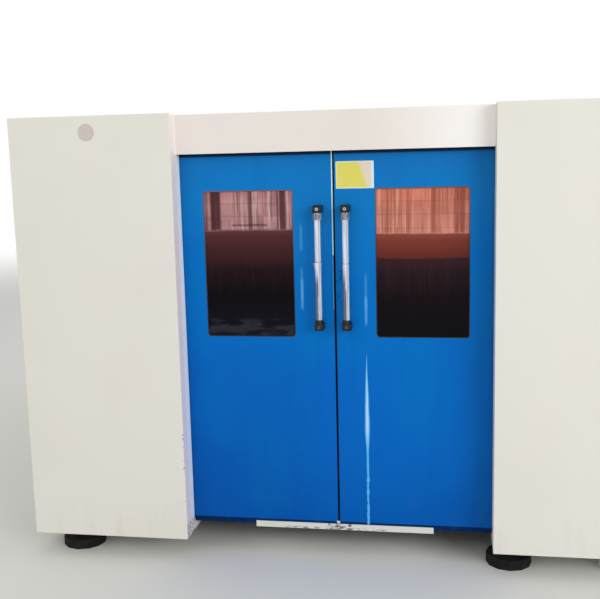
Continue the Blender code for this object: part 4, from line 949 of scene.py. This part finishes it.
sideShape = {
    "face": 1.425, "sheet": 0.002, "sunk": 0.0005, "middles": (-1.76, -0.72, 0.32, 1.36), "half": 0.45,
    "heights": (0.215, 1.865), "corner": 0.042, "fold": 0.0010, "panel": (0.034, 0.0008),
    "seal": {"margin": 0.004, "stand": 0.0010, "width": 0.010, "lip": 0.0003},
    "latchInset": 0.030, "louvreMiddles": (0.32, 1.36), "louvreRows": steps(0.36, 0.60, 9),
    "screwRows": (0.135, 1.948), "screwPlaces": steps(-2.22, -0.24, 7) + steps(-0.16, 1.84, 7),
}
latchShape = {"radius": 0.0125, "top": 0.0039, "sunk": 0.0003, "edge": 0.0014,
              "levels": ((0.003, 0.0014), (0.004, -0.0010))}
louvreShape = {"half": 0.12, "height": 0.017, "reach": 0.008, "lean": 0.0068, "edge": 0.0012, "sunk": 0.0005,
               "mouth": (0.0009, 0.007)}


def makeLouvre(turn):  # a pressed hood, open below; made facing right and turned about the upright
    shape = louvreShape
    reach, height = shape["reach"], shape["height"]
    hood = addBlock("louvre", (-shape["sunk"], -shape["half"], 0), (reach, shape["half"], height))
    pick(hood, "EDGE", lambda edge: edgesOn(0, reach)(edge) and edgesOn(2, height)(edge))
    movePicked((-shape["lean"], 0, 0))
    bent, bottom = math.radians(20), edgesOn(2, 0)
    pick(hood, "EDGE", lambda edge: edge.calc_face_angle(0) > bent and not bottom(edge)
         and any(vertex.co.x > 0.001 for vertex in edge.verts))
    bevelPicked(shape["edge"], 2)
    recess(hood, (0, 0, -1), shape["mouth"])
    hood.data.transform(Matrix.Rotation(math.radians(turn), 4, "Z"))
    return hood


def makeLatch(facing):  # quarter-turn lock: dome with a sunk ring round a middle boss
    shape = latchShape
    latch = stud("latch", shape["sunk"], shape["top"], shape["radius"], shape["edge"], 24, 2)
    recess(latch, (0, 0, 1), *shape["levels"])
    smoothByAngle(latch)
    return turnTowards(latch, facing)


def dressSide(side, sign, shape):
    face, sheet, half = shape["face"], shape["sheet"], shape["half"]
    low, high = shape["heights"]
    middles = [(0, y, 0) for y in shape["middles"]]
    near, far = sorted((sign * (face - shape["sunk"]), sign * (face + sheet)))
    hatch = addBlock("cover", (near, -half, low), (far, half, high))
    pick(hatch, "EDGE", edgeAlong((1, 0, 0)))
    bevelPicked(shape["corner"], 4)
    pick(hatch, "EDGE", edgesOn(0, sign * (face + sheet)))
    bevelPicked(shape["fold"], 2)
    recess(hatch, (sign, 0, 0), shape["panel"])
    smoothByAngle(hatch, 30)
    spread(side + "_access_covers", hatch, middles, "coverPaint")

    rubber, margin = shape["seal"], shape["seal"]["margin"]
    near, far = sorted((sign * (face - shape["sunk"]), sign * (face + rubber["stand"])))
    seal = frameRing("seal", (near, -half - margin, low - margin), (far, half + margin, high + margin), 0,
                     shape["corner"] + margin, rubber["width"], rubber["lip"])
    spread(side + "_cover_seals", seal, middles, "blackRubber")

    inset, outside = shape["latchInset"], sign * (face + sheet)
    spots = [(outside, middle + end * (half - inset), z) for middle in shape["middles"] for end in (-1, 1)
             for z in (low + inset, (low + high) / 2, high - inset)]
    spread(side + "_latches", makeLatch((sign, 0, 0)), spots, "blackPlastic")
    spots = [(outside - sign * shape["panel"][1], middle, z) for middle in shape["louvreMiddles"]
             for z in shape["louvreRows"]]
    spread(side + "_louvres", makeLouvre(0 if sign > 0 else 180), spots, "coverPaint")
    spots = [(sign * face, y, z) for y in shape["screwPlaces"] for z in shape["screwRows"]]
    spread(side + "_panel_screws", makeScrew((sign, 0, 0), **sheetScrew), spots, "zincSteel")


roofShape = {
    "top": 2.014, "seam": 0.0312,
    "strip": {"reach": 1.36, "half": 0.030, "height": 0.002, "sunk": 0.0003, "edge": 0.0009},
    "edge": 1.402, "edgeScrews": steps(-2.20, -0.06, 8) + steps(0.12, 2.29, 8), "ends": (-2.24, 2.31),
    "endScrews": steps(-1.1, 1.1, 6), "seamScrews": steps(-1.3, 1.3, 12),
    "plug": {"radius": 0.034, "top": 0.0045, "sunk": 0.0005, "edge": 0.0016, "dish": (0.006, 0.0014)},
    "plugX": 1.22, "plugY": (-1.75, -0.35, 0.45, 1.85), "louvres": steps(1.40, 1.82, 15), "sunk": 0.0005,
    "dip": 0.0004,
}


def dressRoof(shape):
    top, seam, strip, plug = shape["top"], shape["seam"], shape["strip"], shape["plug"]
    cap = softBlock("roof_seam_strip", (-strip["reach"], seam - strip["half"], top - strip["sunk"]),
                    (strip["reach"], seam + strip["half"], top + strip["height"]), strip["edge"])
    dress(cap, "roofPaint")
    spots = [(sign * shape["edge"], y, top) for sign in (-1, 1) for y in shape["edgeScrews"]]
    spots += [(x, y, top) for x in shape["endScrews"] for y in shape["ends"]]
    spots += [(x, seam, top + strip["height"]) for x in shape["seamScrews"]]
    spread("roof_screws", makeScrew((0, 0, 1), **sheetScrew), spots, "zincSteel")
    button = stud("plug", plug["sunk"], plug["top"], plug["radius"], plug["edge"], 36, 3)
    recess(button, (0, 0, 1), plug["dish"])
    smoothByAngle(button)
    spots = [(sign * shape["plugX"], y, top) for sign in (-1, 1) for y in shape["plugY"]]
    spread("lifting_plugs", button, spots, "blackPlastic")
    hood = makeLouvre(90)  # laid on its back, its mouth to the rear
    hood.data.transform(Matrix.Rotation(math.radians(-90), 4, "X"))
    hood.data.transform(Matrix.Rotation(math.radians(180), 4, "Z"))
    lowest = min(vertex.co.z for vertex in hood.data.vertices)
    hood.data.transform(Matrix.Translation((0, 0, -lowest - shape["sunk"])))
    spread("roof_louvres", hood, [(0, y, top - shape["dip"]) for y in shape["louvres"]], "roofPaint")


for side, sign in sides.items():
    dressSide(side, sign, sideShape)
dressRoof(roofShape)
print("sides and roof dressed")


# rear end: wall screws, slot trim, service plate, dust flange, gate ribs

rearShape = {
    "face": 2.34, "columns": (-0.899, 0.899), "columnScrews": steps(0.16, 1.93, 9), "rows": (0.125, 1.958),
    "rowScrews": steps(-0.72, 0.72, 7),
    "slot": {"low": (-0.874, 2.3385, 0.586), "high": (0.874, 2.3455, 1.114), "corner": 0.006, "width": 0.0150,
             "lip": 0.0015},
    "plate": ((-0.640, 2.3395, 0.235), (-0.270, 2.3435, 0.425)), "plateEdge": 0.0012,
    "plateScrews": ((-0.626, -0.284), (0.249, 0.411)), "plateScrew": {"radius": 0.0062, "height": 0.0034},
    "glands": (-0.590, -0.545, -0.500, -0.455, -0.410), "couplings": (-0.355, -0.310),
    "fittings": (0.290, 0.370),
    "blank": ((-0.10, 2.3398, 1.50), (0.10, 2.3412, 1.62)), "blankEdge": 0.0005,
    "rivets": ((-0.092, 0.092), (1.508, 1.612)), "rivet": {"radius": 0.0032, "height": 0.0014},
}
glandShape = {
    "nut": {"sunk": 0.0005, "height": 0.0105, "radius": 0.0165, "edge": 0.0012, "vertices": 6},
    "dome": {"sunk": -0.0095, "height": 0.0235, "radius": 0.0130, "edge": 0.0050, "vertices": 24,
             "segments": 4},
    "bore": (0.0012, 0.0060),
}
couplingRings = ((-0.0005, 0.009, 0.0145, 6), (0.009, 0.022, 0.0105, 24), (0.022, 0.034, 0.0125, 24))
dustOutlet = {"x": 0.45, "z": 0.33, "boltCircle": 0.1228, "boltFace": 2.3463, "bolts": 8, "across": 0.0130,
              "head": 0.0053, "washer": 0.0014, "beadPlace": 2.389, "beadRadius": 0.1108, "beadSize": 0.0026,
              "beadStretch": 1.7}
gateRibs = {"heights": (0.700, 0.850, 1.000), "reach": 0.80, "faces": (2.2895, 2.2930), "half": 0.026,
            "edge": 0.0016}


def makeGland():  # hexagon, clamping dome, dark bore
    nut, dome = stud("nut", **glandShape["nut"]), stud("dome", **glandShape["dome"])
    recess(dome, (0, 0, 1), glandShape["bore"])
    smoothByAngle(dome)
    return turnTowards(joinAs("gland", [nut, dome]), (0, 1, 0))


def makeCoupling(facing):  # capped quick coupling for air or gas
    rings = [softRound("ring", (0, 0, low), (0, 0, high), radius, 0.0012, 2, vertices=vertices)
             for low, high, radius, vertices in couplingRings]
    return turnTowards(joinAs("coupling", rings), facing)


def dressOutlet(outlet):
    x, z, circle = outlet["x"], outlet["z"], outlet["boltCircle"]
    pitch = 2 * math.pi / outlet["bolts"]
    turns = [pitch * (index + 0.5) for index in range(outlet["bolts"])]
    spots = [(x + circle * math.cos(turn), outlet["boltFace"], z + circle * math.sin(turn)) for turn in turns]
    bolt = makeHexBolt((0, 1, 0), outlet["across"], outlet["head"], outlet["washer"])
    spread("flange_bolts", bolt, spots, "zincSteel")
    deselectAll()
    y = outlet["beadPlace"]
    bpy.ops.mesh.primitive_torus_add(major_radius=outlet["beadRadius"], minor_radius=outlet["beadSize"],
                                     major_segments=64, minor_segments=10, location=(x, y, z),
                                     rotation=(math.radians(90), 0, 0))
    bead = settle("dust_bead")
    wider = Matrix.Diagonal((1, outlet["beadStretch"], 1, 1))
    bead.data.transform(Matrix.Translation((0, y, 0)) @ wider @ Matrix.Translation((0, -y, 0)))
    smoothByAngle(bead, 60)
    dress(bead, "zincSteel")


def dressRear(shape):
    face, slot = shape["face"], shape["slot"]
    spots = [(x, face, z) for x in shape["columns"] for z in shape["columnScrews"]]
    spots += [(x, face, z) for x in shape["rowScrews"] for z in shape["rows"]]
    spread("rear_wall_screws", makeScrew((0, 1, 0), **sheetScrew), spots, "zincSteel")
    dress(frameRing("slot_trim", axis=1, **slot), "blackRubber")
    dress(softBlock("service_plate", *shape["plate"], shape["plateEdge"]), "zincSteel")
    front, rows = shape["plate"][1][1], shape["fittings"]
    spots = [(x, front, z) for x in shape["glands"] for z in rows]
    spread("cable_glands", makeGland(), spots, "blackPlastic")
    spots = [(x, front, z) for x in shape["couplings"] for z in rows]
    spread("air_couplings", makeCoupling((0, 1, 0)), spots, "brassFinish")
    columns, rows = shape["plateScrews"]
    spread("service_plate_screws", makeScrew((0, 1, 0), **shape["plateScrew"]),
           [(x, front, z) for x in columns for z in rows], "zincSteel")
    dress(softBlock("blank_plate", *shape["blank"], shape["blankEdge"], 1), "groundSteel")
    columns, rows = shape["rivets"]
    spread("blank_plate_rivets", makeScrew((0, 1, 0), **shape["rivet"]),
           [(x, shape["blank"][1][1], z) for x in columns for z in rows], "zincSteel")


def ribGate(ribs):
    reach, (back, front), half = ribs["reach"], ribs["faces"], ribs["half"]
    for index, z in enumerate(ribs["heights"]):
        rib = softBlock("gate_rib_%d" % (index + 1), (-reach, back, z - half), (reach, front, z + half),
                        ribs["edge"], 3)
        dress(rib, "coverPaint", "rear_gate")


dressRear(rearShape)
dressOutlet(dustOutlet)
ribGate(gateRibs)


# cabinet doors: swing handle, filter grilles, hinges, pressed bead, main switch

cabinetDoors = {"electrical": -1, "laser": 1}
doorFittings = {
    "handle": (0.962, 1.06), "grilleX": 1.18, "grilleHeights": (0.36, 1.70), "hinge": (1.425, 2.34),
    "hingeHeights": (0.26, 1.04, 1.82), "hingeRadius": 0.0062, "hingeHalf": 0.039, "hingeEdge": 0.0016,
    "bead": {"x": (0.945, 1.405), "y": (2.3397, 2.3409), "z": (0.125, 1.956), "corner": 0.012, "width": 0.006,
             "lip": 0.0005},
}
grilleShape = {"half": 0.085, "sunk": 0.0005, "front": 0.013, "corner": 0.008, "edge": 0.003,
               "well": (0.010, 0.009), "slats": steps(-0.060, 0.060, 9), "slatHalf": 0.069,
               "slat": (0.0035, 0.0105), "slatHeight": 0.0045, "slatLean": 0.0035}
handleShape = {"plate": {"half": (0.017, 0.085), "y": (2.3395, 2.3480), "edge": 0.0030},
               "lever": {"half": 0.0115, "y": (2.3470, 2.3600), "z": (-0.070, 0.050), "lean": 0.0055,
                         "edge": 0.0032},
               "key": {"z": 0.067, "y": (2.3475, 2.3535), "radius": 0.0095, "edge": 0.0016}}
switchShape = {"x": -1.18, "z": 1.30,
               "plate": {"half": (0.040, 0.040), "y": (2.3395, 2.3455), "edge": 0.0025},
               "base": {"radius": 0.029, "y": (2.3450, 2.3560), "edge": 0.003},
               "grip": {"half": (0.0075, 0.026), "y": (2.3550, 2.3720), "edge": 0.0028}}


def makeFanGrille(shape):  # square filter housing with slats, facing the rear
    half, front = shape["half"], shape["front"]
    case = addBlock("case", (-half, -shape["sunk"], -half), (half, front, half))
    pick(case, "EDGE", edgeAlong((0, 1, 0)))
    bevelPicked(shape["corner"], 4)
    pick(case, "EDGE", edgesOn(1, front))
    bevelPicked(shape["edge"], 3)
    recess(case, (0, 1, 0), shape["well"])
    smoothByAngle(case)
    pieces = [case]
    reach, (back, face), height = shape["slatHalf"], shape["slat"], shape["slatHeight"]
    for z in shape["slats"]:
        slat = addBlock("slat", (-reach, back, z - height), (reach, face, z + height))
        pick(slat, "EDGE", lambda edge: edgesOn(1, face)(edge) and edgeAlong((1, 0, 0))(edge))
        movePicked((0, 0, -shape["slatLean"]))
        pieces.append(slat)
    return joinAs("grille", pieces)


def softPlate(name, x, z, shape):  # a block with its middle at x and z, on a wall that faces the rear
    (wide, tall), (back, front) = shape["half"], shape["y"]
    return softBlock(name, (x - wide, back, z - tall), (x + wide, front, z + tall), shape["edge"], 3)


def makeSwingHandle(name, x, z, body):  # escutcheon, lever and key cover
    lever, key = handleShape["lever"], handleShape["key"]
    backing = softPlate(name + "Plate", x, z, handleShape["plate"])
    half, (back, front), (low, high) = lever["half"], lever["y"], lever["z"]
    arm = addBlock(name + "Lever", (x - half, back, z + low), (x + half, front, z + high))
    pick(arm, "EDGE", lambda edge: edgesOn(2, z + low)(edge) and edgesOn(1, front)(edge))
    movePicked((0, -lever["lean"], 0))
    pick(arm, "EDGE", lambda edge: True)
    bevelPicked(lever["edge"], 3)
    smoothByAngle(arm)
    height, (back, front) = z + key["z"], key["y"]
    lid = softRound(name + "Key", (x, back, height), (x, front, height), key["radius"], key["edge"], 2, "Y")
    dress(joinAs(name, [backing, arm, lid]), "blackPlastic", body)


def dressCabinetDoor(name, sign, shape):
    body, half, bead = name + "_door", shape["hingeHalf"], shape["bead"]
    x, z = shape["handle"]
    makeSwingHandle(name + "_latch", sign * x, z, body)
    spots = [(sign * shape["grilleX"], rearShape["face"], z) for z in shape["grilleHeights"]]
    spread(name + "_grilles", makeFanGrille(grilleShape), spots, "lightPlastic", body)
    barrel = softRound("barrel", (0, 0, -half), (0, 0, half), shape["hingeRadius"], shape["hingeEdge"], 2,
                       vertices=20, bothEnds=True)
    x, y = shape["hinge"]
    spread(name + "_hinges", barrel, [(sign * x, y, z) for z in shape["hingeHeights"]], "zincSteel", body)
    low, high = boxCorners(bead, sign)
    rim = frameRing(name + "_door_bead", low, high, 1, bead["corner"], bead["width"], bead["lip"])
    dress(rim, "coverPaint", body)


def makeMainSwitch(shape):  # rotary switch, as any such cabinet has
    x, z, base = shape["x"], shape["z"], shape["base"]
    dress(softPlate("main_switch_plate", x, z, shape["plate"]), "signalYellow", "electrical_door")
    back, front = base["y"]
    disc = softRound("base", (x, back, z), (x, front, z), base["radius"], base["edge"], 3, "Y", 40)
    grip = softPlate("grip", x, z, shape["grip"])
    dress(joinAs("main_switch_knob", [disc, grip]), "signalRed", "electrical_door")


for name, sign in cabinetDoors.items():
    dressCabinetDoor(name, sign, doorFittings)
makeMainSwitch(switchShape)
print("rear end dressed")


# inside the cabinets: four rows of ducts, terminals and the drives' fittings, the laser source's fittings

driveRows = {
    "rows": (0.279, 0.718, 1.156, 1.595), "columns": (-1.2875, -1.1725, -1.0575), "front": 2.0283,
    "duct": {"x": (-1.352, -0.993), "y": (1.9080, 1.9620), "z": (0.262, 0.317), "edge": 0.0015,
             "lid": (0.003, -0.0025)}, "sunk": 0.0005,
    "terminal": {"half": 0.0052, "front": 0.0300, "top": 0.044, "edge": 0.0014, "well": (0.002, 0.004)},
    "terminalPlace": (1.9085, 0.2135), "terminalColumns": steps(-1.335, -1.010, 29),
    "plug": {"half": 0.030, "front": 0.0095, "top": 0.018, "edge": 0.0016}, "plugHeights": (0.016, 0.044),
    "display": {"half": 0.024, "front": 0.0024, "top": 0.022, "edge": 0.0010, "well": (0.002, 0.001)},
    "displayHeight": 0.165,
    "fin": {"half": 0.0012, "front": 0.0060, "top": 0.075, "edge": 0.0005}, "finHeight": 0.075,
    "finPlaces": steps(-0.032, 0.032, 9),
}
sourceParts = {
    "vent": {"half": 0.055, "front": 0.0016, "top": 0.005, "edge": 0.0007}, "face": 2.315,
    "ventColumns": (1.075, 1.270), "ventRows": steps(0.190, 0.360, 12),
    "panel": {"low": (0.995, 2.3147, 0.400), "high": (1.350, 2.3168, 0.720), "corner": 0.010, "width": 0.005,
              "lip": 0.0007},
    "ports": ((1.05, 2.02), (1.11, 2.02), (1.28, 2.02)), "top": 0.745,
    "junction": ((1.18, 2.12, 0.7448), (1.32, 2.22, 0.800)), "junctionEdge": 0.004,
}


def standingBlock(name, size, segments=1):  # a small block standing off a wall that faces the rear
    low, high = (-size["half"], -driveRows["sunk"], 0), (size["half"], size["front"], size["top"])
    return softBlock(name, low, high, size["edge"], segments, False)


def fillElectrical(parts):
    rows, columns, front, duct = parts["rows"], parts["columns"], parts["front"], parts["duct"]
    ducts = []
    for row in rows:
        low, high = [(x, y, row + z) for x, y, z in zip(duct["x"], duct["y"], duct["z"])]
        channel = softBlock("duct", low, high, duct["edge"], 1, False)
        recess(channel, (0, 1, 0), duct["lid"])
        ducts.append(channel)
    dress(joinAs("wiring_ducts", ducts), "lightPlastic")
    terminal = standingBlock("terminal", parts["terminal"])
    recess(terminal, (0, 1, 0), parts["terminal"]["well"])
    y, z = parts["terminalPlace"]
    spots = [(x, y, row + z) for row in rows[:3] for x in parts["terminalColumns"]]
    spread("terminal_rows", terminal, spots, "lightPlastic")
    spots = [(x, front, row + z) for row in rows for x in columns for z in parts["plugHeights"]]
    spread("drive_plugs", standingBlock("plug", parts["plug"], 2), spots, "greenPlug")
    size = parts["display"]
    half, front = size["half"], size["front"]
    display = addBlock("display", (-half, -parts["sunk"], 0), (half, front, size["top"]))
    pick(display, "EDGE", edgesOn(1, front))
    bevelPicked(size["edge"], 2)
    recess(display, (0, 1, 0), size["well"])
    spots = [(x, parts["front"], row + parts["displayHeight"]) for row in rows for x in columns]
    spread("drive_displays", display, spots, "lightPlastic")
    spots = [(x + offset, parts["front"], row + parts["finHeight"]) for row in rows for x in columns
             for offset in parts["finPlaces"]]
    spread("drive_fins", standingBlock("fin", parts["fin"]), spots, "anodised")


def dressSource(parts):
    spots = [(x, parts["face"], z) for x in parts["ventColumns"] for z in parts["ventRows"]]
    spread("source_vents", standingBlock("vent", parts["vent"]), spots, "blackPlastic")
    dress(frameRing("source_panel", axis=1, **parts["panel"]), "lightPlastic")
    spots = [(x, y, parts["top"]) for x, y in parts["ports"]]
    spread("source_ports", makeCoupling((0, 0, 1)), spots, "brassFinish")
    dress(softBlock("source_junction", *parts["junction"], parts["junctionEdge"], 3), "lightPlastic")


fillElectrical(driveRows)
dressSource(sourceParts)
print("cabinets filled")


# inside the work space: posts, roof ribs, lamps, rail caps, rack teeth

roomShape = {
    "posts": {"x": (1.352, 1.3849), "half": 0.02, "z": (0.106, 1.9835), "edge": 0.003,
              "places": (-1.95, -1.15, -0.35, 0.45, 1.25)},
    "ribs": {"reach": 1.384, "half": 0.015, "z": (1.9560, 1.9842), "edge": 0.003,
             "places": (-1.55, -0.75, 0.05, 0.85, 1.65)},
    "lamps": {"x": 1.26, "half": 0.020, "y": (-1.86, 1.60), "z": (1.9600, 1.9842), "edge": 0.003,
              "well": (0.004, 0.006)},
    "diffuser": {"half": 0.0150, "y": (-1.854, 1.594), "z": (1.9570, 1.9665), "edge": 0.0035},
    "caps": {"x": 0.960, "top": 0.9503, "start": -2.08, "pitch": 0.080, "count": 49, "radius": 0.0055,
             "height": 0.00014},
    "teeth": {"x": (1.036, 1.059), "top": 0.945, "sunk": 0.0006, "height": 0.0034, "start": -2.094,
              "pitch": 0.00628, "share": 0.72, "tip": 0.42, "count": 619},
}


def makeLamp(side, sign, lamps, diffuser):
    x, half, (back, front), (low, high) = sign * lamps["x"], lamps["half"], lamps["y"], lamps["z"]
    channel = addBlock(side + "_lamp_channel", (x - half, back, low), (x + half, front, high))
    pick(channel, "EDGE", edgeAlong((0, 1, 0)))
    bevelPicked(lamps["edge"], 3)
    recess(channel, (0, 0, -1), lamps["well"])
    smoothByAngle(channel)
    dress(channel, "groundSteel")
    half, (back, front), (low, high) = diffuser["half"], diffuser["y"], diffuser["z"]
    strip = softBlock(side + "_lamp_diffuser", (x - half, back, low), (x + half, front, high),
                      diffuser["edge"], 3)
    dress(strip, "whiteDiffuser")


def makeTeeth(side, sign, teeth):
    near, far = sorted(sign * x for x in teeth["x"])
    start, top = teeth["start"], teeth["top"]
    tooth = addBlock(side + "_rack_teeth", (near, start, top - teeth["sunk"]),
                     (far, start + teeth["pitch"] * teeth["share"], top + teeth["height"]))
    pick(tooth, "FACE", faceTowards((0, 0, 1)))
    bpy.ops.transform.resize(value=(1, teeth["tip"], 1))
    bpy.ops.object.mode_set(mode="OBJECT")
    row = tooth.modifiers.new("row", "ARRAY")
    row.count, row.use_relative_offset, row.use_constant_offset = teeth["count"], False, True
    row.constant_offset_displace = (0, teeth["pitch"], 0)
    bpy.ops.object.modifier_apply(modifier="row")
    dress(tooth, "groundSteel")


def dressRoom(shape):
    posts, ribs, caps = shape["posts"], shape["ribs"], shape["caps"]
    for side, sign in sides.items():
        near, far = sorted(sign * x for x in posts["x"])
        (low, high), half = posts["z"], posts["half"]
        post = softBlock("post", (near, -half, low), (far, half, high), posts["edge"])
        spread(side + "_wall_posts", post, [(0, y, 0) for y in posts["places"]], "coverPaint")
        makeLamp(side, sign, shape["lamps"], shape["diffuser"])
        spots = [(sign * caps["x"], caps["start"] + caps["pitch"] * index, caps["top"])
                 for index in range(caps["count"])]
        spread(side + "_rail_caps", makeCap((0, 0, 1), caps["radius"], caps["height"]), spots, "blackPlastic")
        makeTeeth(side, sign, shape["teeth"])
    (low, high), half = ribs["z"], ribs["half"]
    rib = softBlock("rib", (-ribs["reach"], -half, low), (ribs["reach"], half, high), ribs["edge"])
    spread("roof_ribs", rib, [(0, y, 0) for y in ribs["places"]], "coverPaint")


dressRoom(roomShape)
print("work space dressed")


# gantry, carriage and head

gantryShape = {
    "capPlaces": steps(-0.96, 0.96, 33), "capRows": (1.20, 1.36), "capFace": 1.2597,
    "cap": {"radius": 0.0042, "height": 0.00014, "vertices": 12},
    "tray": ((-0.94, 1.430, 1.3995), (0.94, 1.505, 1.425)), "trayWell": (0.0022, 0.0230), "trayEdge": 0.0006,
    "beamEnd": 1.0101,
    "boltSpots": ((1.30, 1.255), (1.30, 1.375), (1.40, 1.375), (1.50, 1.255), (1.50, 1.375)),
    "bolt": {"across": 0.017, "height": 0.0070, "washer": 0.0020},
    "motor": (1.0543, 1.400), "finHalf": 0.0420, "finHeight": 0.0030, "finEdge": 0.0008,
    "finRows": steps(1.085, 1.190, 10), "connector": {"radius": 0.0120, "z": (1.2185, 1.2445), "edge": 0.004},
}
carriageShape = {
    "boltColumns": (0.104, 0.142), "boltRows": (1.185, 1.215, 1.345, 1.375, 1.415), "boltFace": 1.225,
    "bolt": {"radius": 0.0065, "height": 0.0060}, "screwColumn": 0.0705, "screwFace": 1.1247,
    "screwRows": steps(1.19, 1.60, 6), "screw": {"radius": 0.0038, "height": 0.0022},
    "junction": ((0.090, 1.1800, 1.440), (0.150, 1.2252, 1.500)), "junctionEdge": 0.004,
}
headShape = {
    "y": 1.0624, "rings": ((1.345, 0.0378, 0.014), (1.262, 0.0375, 0.008), (1.175, 0.0378, 0.016)),
    "ringEdge": 0.0012,
    "port": ((1.366, 1.378, 0.026), (1.378, 1.408, 0.018), (1.408, 1.430, 0.021), (1.430, 1.448, 0.0145)),
    "portEdge": 0.0018, "drawer": ((-0.021, 1.0160, 1.205), (0.021, 1.0400, 1.238)), "drawerEdge": 0.0025,
    "thumb": {"radius": 0.0055, "height": 0.0060},
    "thumbSpots": ((-0.0135, 1.016, 1.2215), (0.0135, 1.016, 1.2215)),
    "knob": {"x": (0.035, 0.050), "z": 1.302, "radius": 0.0125, "edge": 0.0018},
    "boltX": 0.050, "boltFace": 1.1044, "boltRows": (1.06, 1.16, 1.31, 1.41),
    "bolt": {"radius": 0.0050, "height": 0.0050},
}


def dressGantry(shape):
    spots = [(x, shape["capFace"], z) for x in shape["capPlaces"] for z in shape["capRows"]]
    spread("x_rail_caps", makeCap((0, -1, 0), **shape["cap"]), spots, "blackPlastic", "gantry")
    tray = addBlock("cable_tray", *shape["tray"])
    recess(tray, (0, 0, 1), shape["trayWell"])
    pick(tray, "EDGE", edgesOn(2, shape["tray"][1][2]))
    bevelPicked(shape["trayEdge"], 1)
    dress(tray, "zincSteel", "gantry")
    y, half, connector = shape["motor"][1], shape["finHalf"], shape["connector"]
    for side, sign in sides.items():
        spots = [(sign * shape["beamEnd"], place, z) for place, z in shape["boltSpots"]]
        spread(side + "_beam_bolts", makeHexBolt((sign, 0, 0), **shape["bolt"]), spots, "zincSteel", "gantry")
        x = sign * shape["motor"][0]
        fin = softBlock("fin", (x - half, y - half, 0), (x + half, y + half, shape["finHeight"]),
                        shape["finEdge"], 1, False)
        spread(side + "_motor_fins", fin, [(0, 0, z) for z in shape["finRows"]], "anodised", "gantry",
               "black_plastic")
        low, high = [(x, y, z) for z in connector["z"]]
        cap = softRound(side + "_motor_connector", low, high, connector["radius"], connector["edge"], 3)
        dress(cap, "blackPlastic", "gantry")


def dressCarriage(shape):
    spots = [(sign * x, shape["boltFace"], z) for sign in (-1, 1) for x in shape["boltColumns"]
             for z in shape["boltRows"]]
    spread("carriage_bolts", makeScrew((0, -1, 0), **shape["bolt"]), spots, "darkSteel", "cross_carriage")
    spots = [(sign * shape["screwColumn"], shape["screwFace"], z) for sign in (-1, 1)
             for z in shape["screwRows"]]
    spread("housing_screws", makeScrew((0, -1, 0), **shape["screw"]), spots, "zincSteel", "cross_carriage")
    box = softBlock("carriage_junction", *shape["junction"], shape["junctionEdge"], 3)
    dress(box, "lightPlastic", "cross_carriage")


def dressHead(shape):
    y, knob = shape["y"], shape["knob"]
    rings = [softRound("ring", (0, y, z - height / 2), (0, y, z + height / 2), radius, shape["ringEdge"], 2,
                       vertices=48, bothEnds=True) for z, radius, height in shape["rings"]]
    dress(joinAs("head_rings", rings), "groundSteel", "laser_head")
    port = [softRound("ring", (0, y, low), (0, y, high), radius, shape["portEdge"], 3, vertices=36)
            for low, high, radius in shape["port"]]
    dress(joinAs("fibre_port", port), "anodised", "laser_head", "steel")
    dress(softBlock("window_drawer", *shape["drawer"], shape["drawerEdge"], 3), "blackPlastic", "laser_head")
    thumb = makeScrew((0, -1, 0), **shape["thumb"])
    spread("drawer_screws", thumb, shape["thumbSpots"], "brassFinish", "laser_head")
    low, high = [(x, y, knob["z"]) for x in knob["x"]]
    wheel = softRound("focus_knob", low, high, knob["radius"], knob["edge"], 2, "X", 28)
    dress(wheel, "anodised", "laser_head", "steel")
    spots = [(sign * shape["boltX"], shape["boltFace"], z) for sign in (-1, 1) for z in shape["boltRows"]]
    spread("slide_bolts", makeScrew((0, -1, 0), **shape["bolt"]), spots, "darkSteel", "laser_head")


dressGantry(gantryShape)
dressCarriage(carriageShape)
dressHead(headShape)
print("gantry and head dressed")
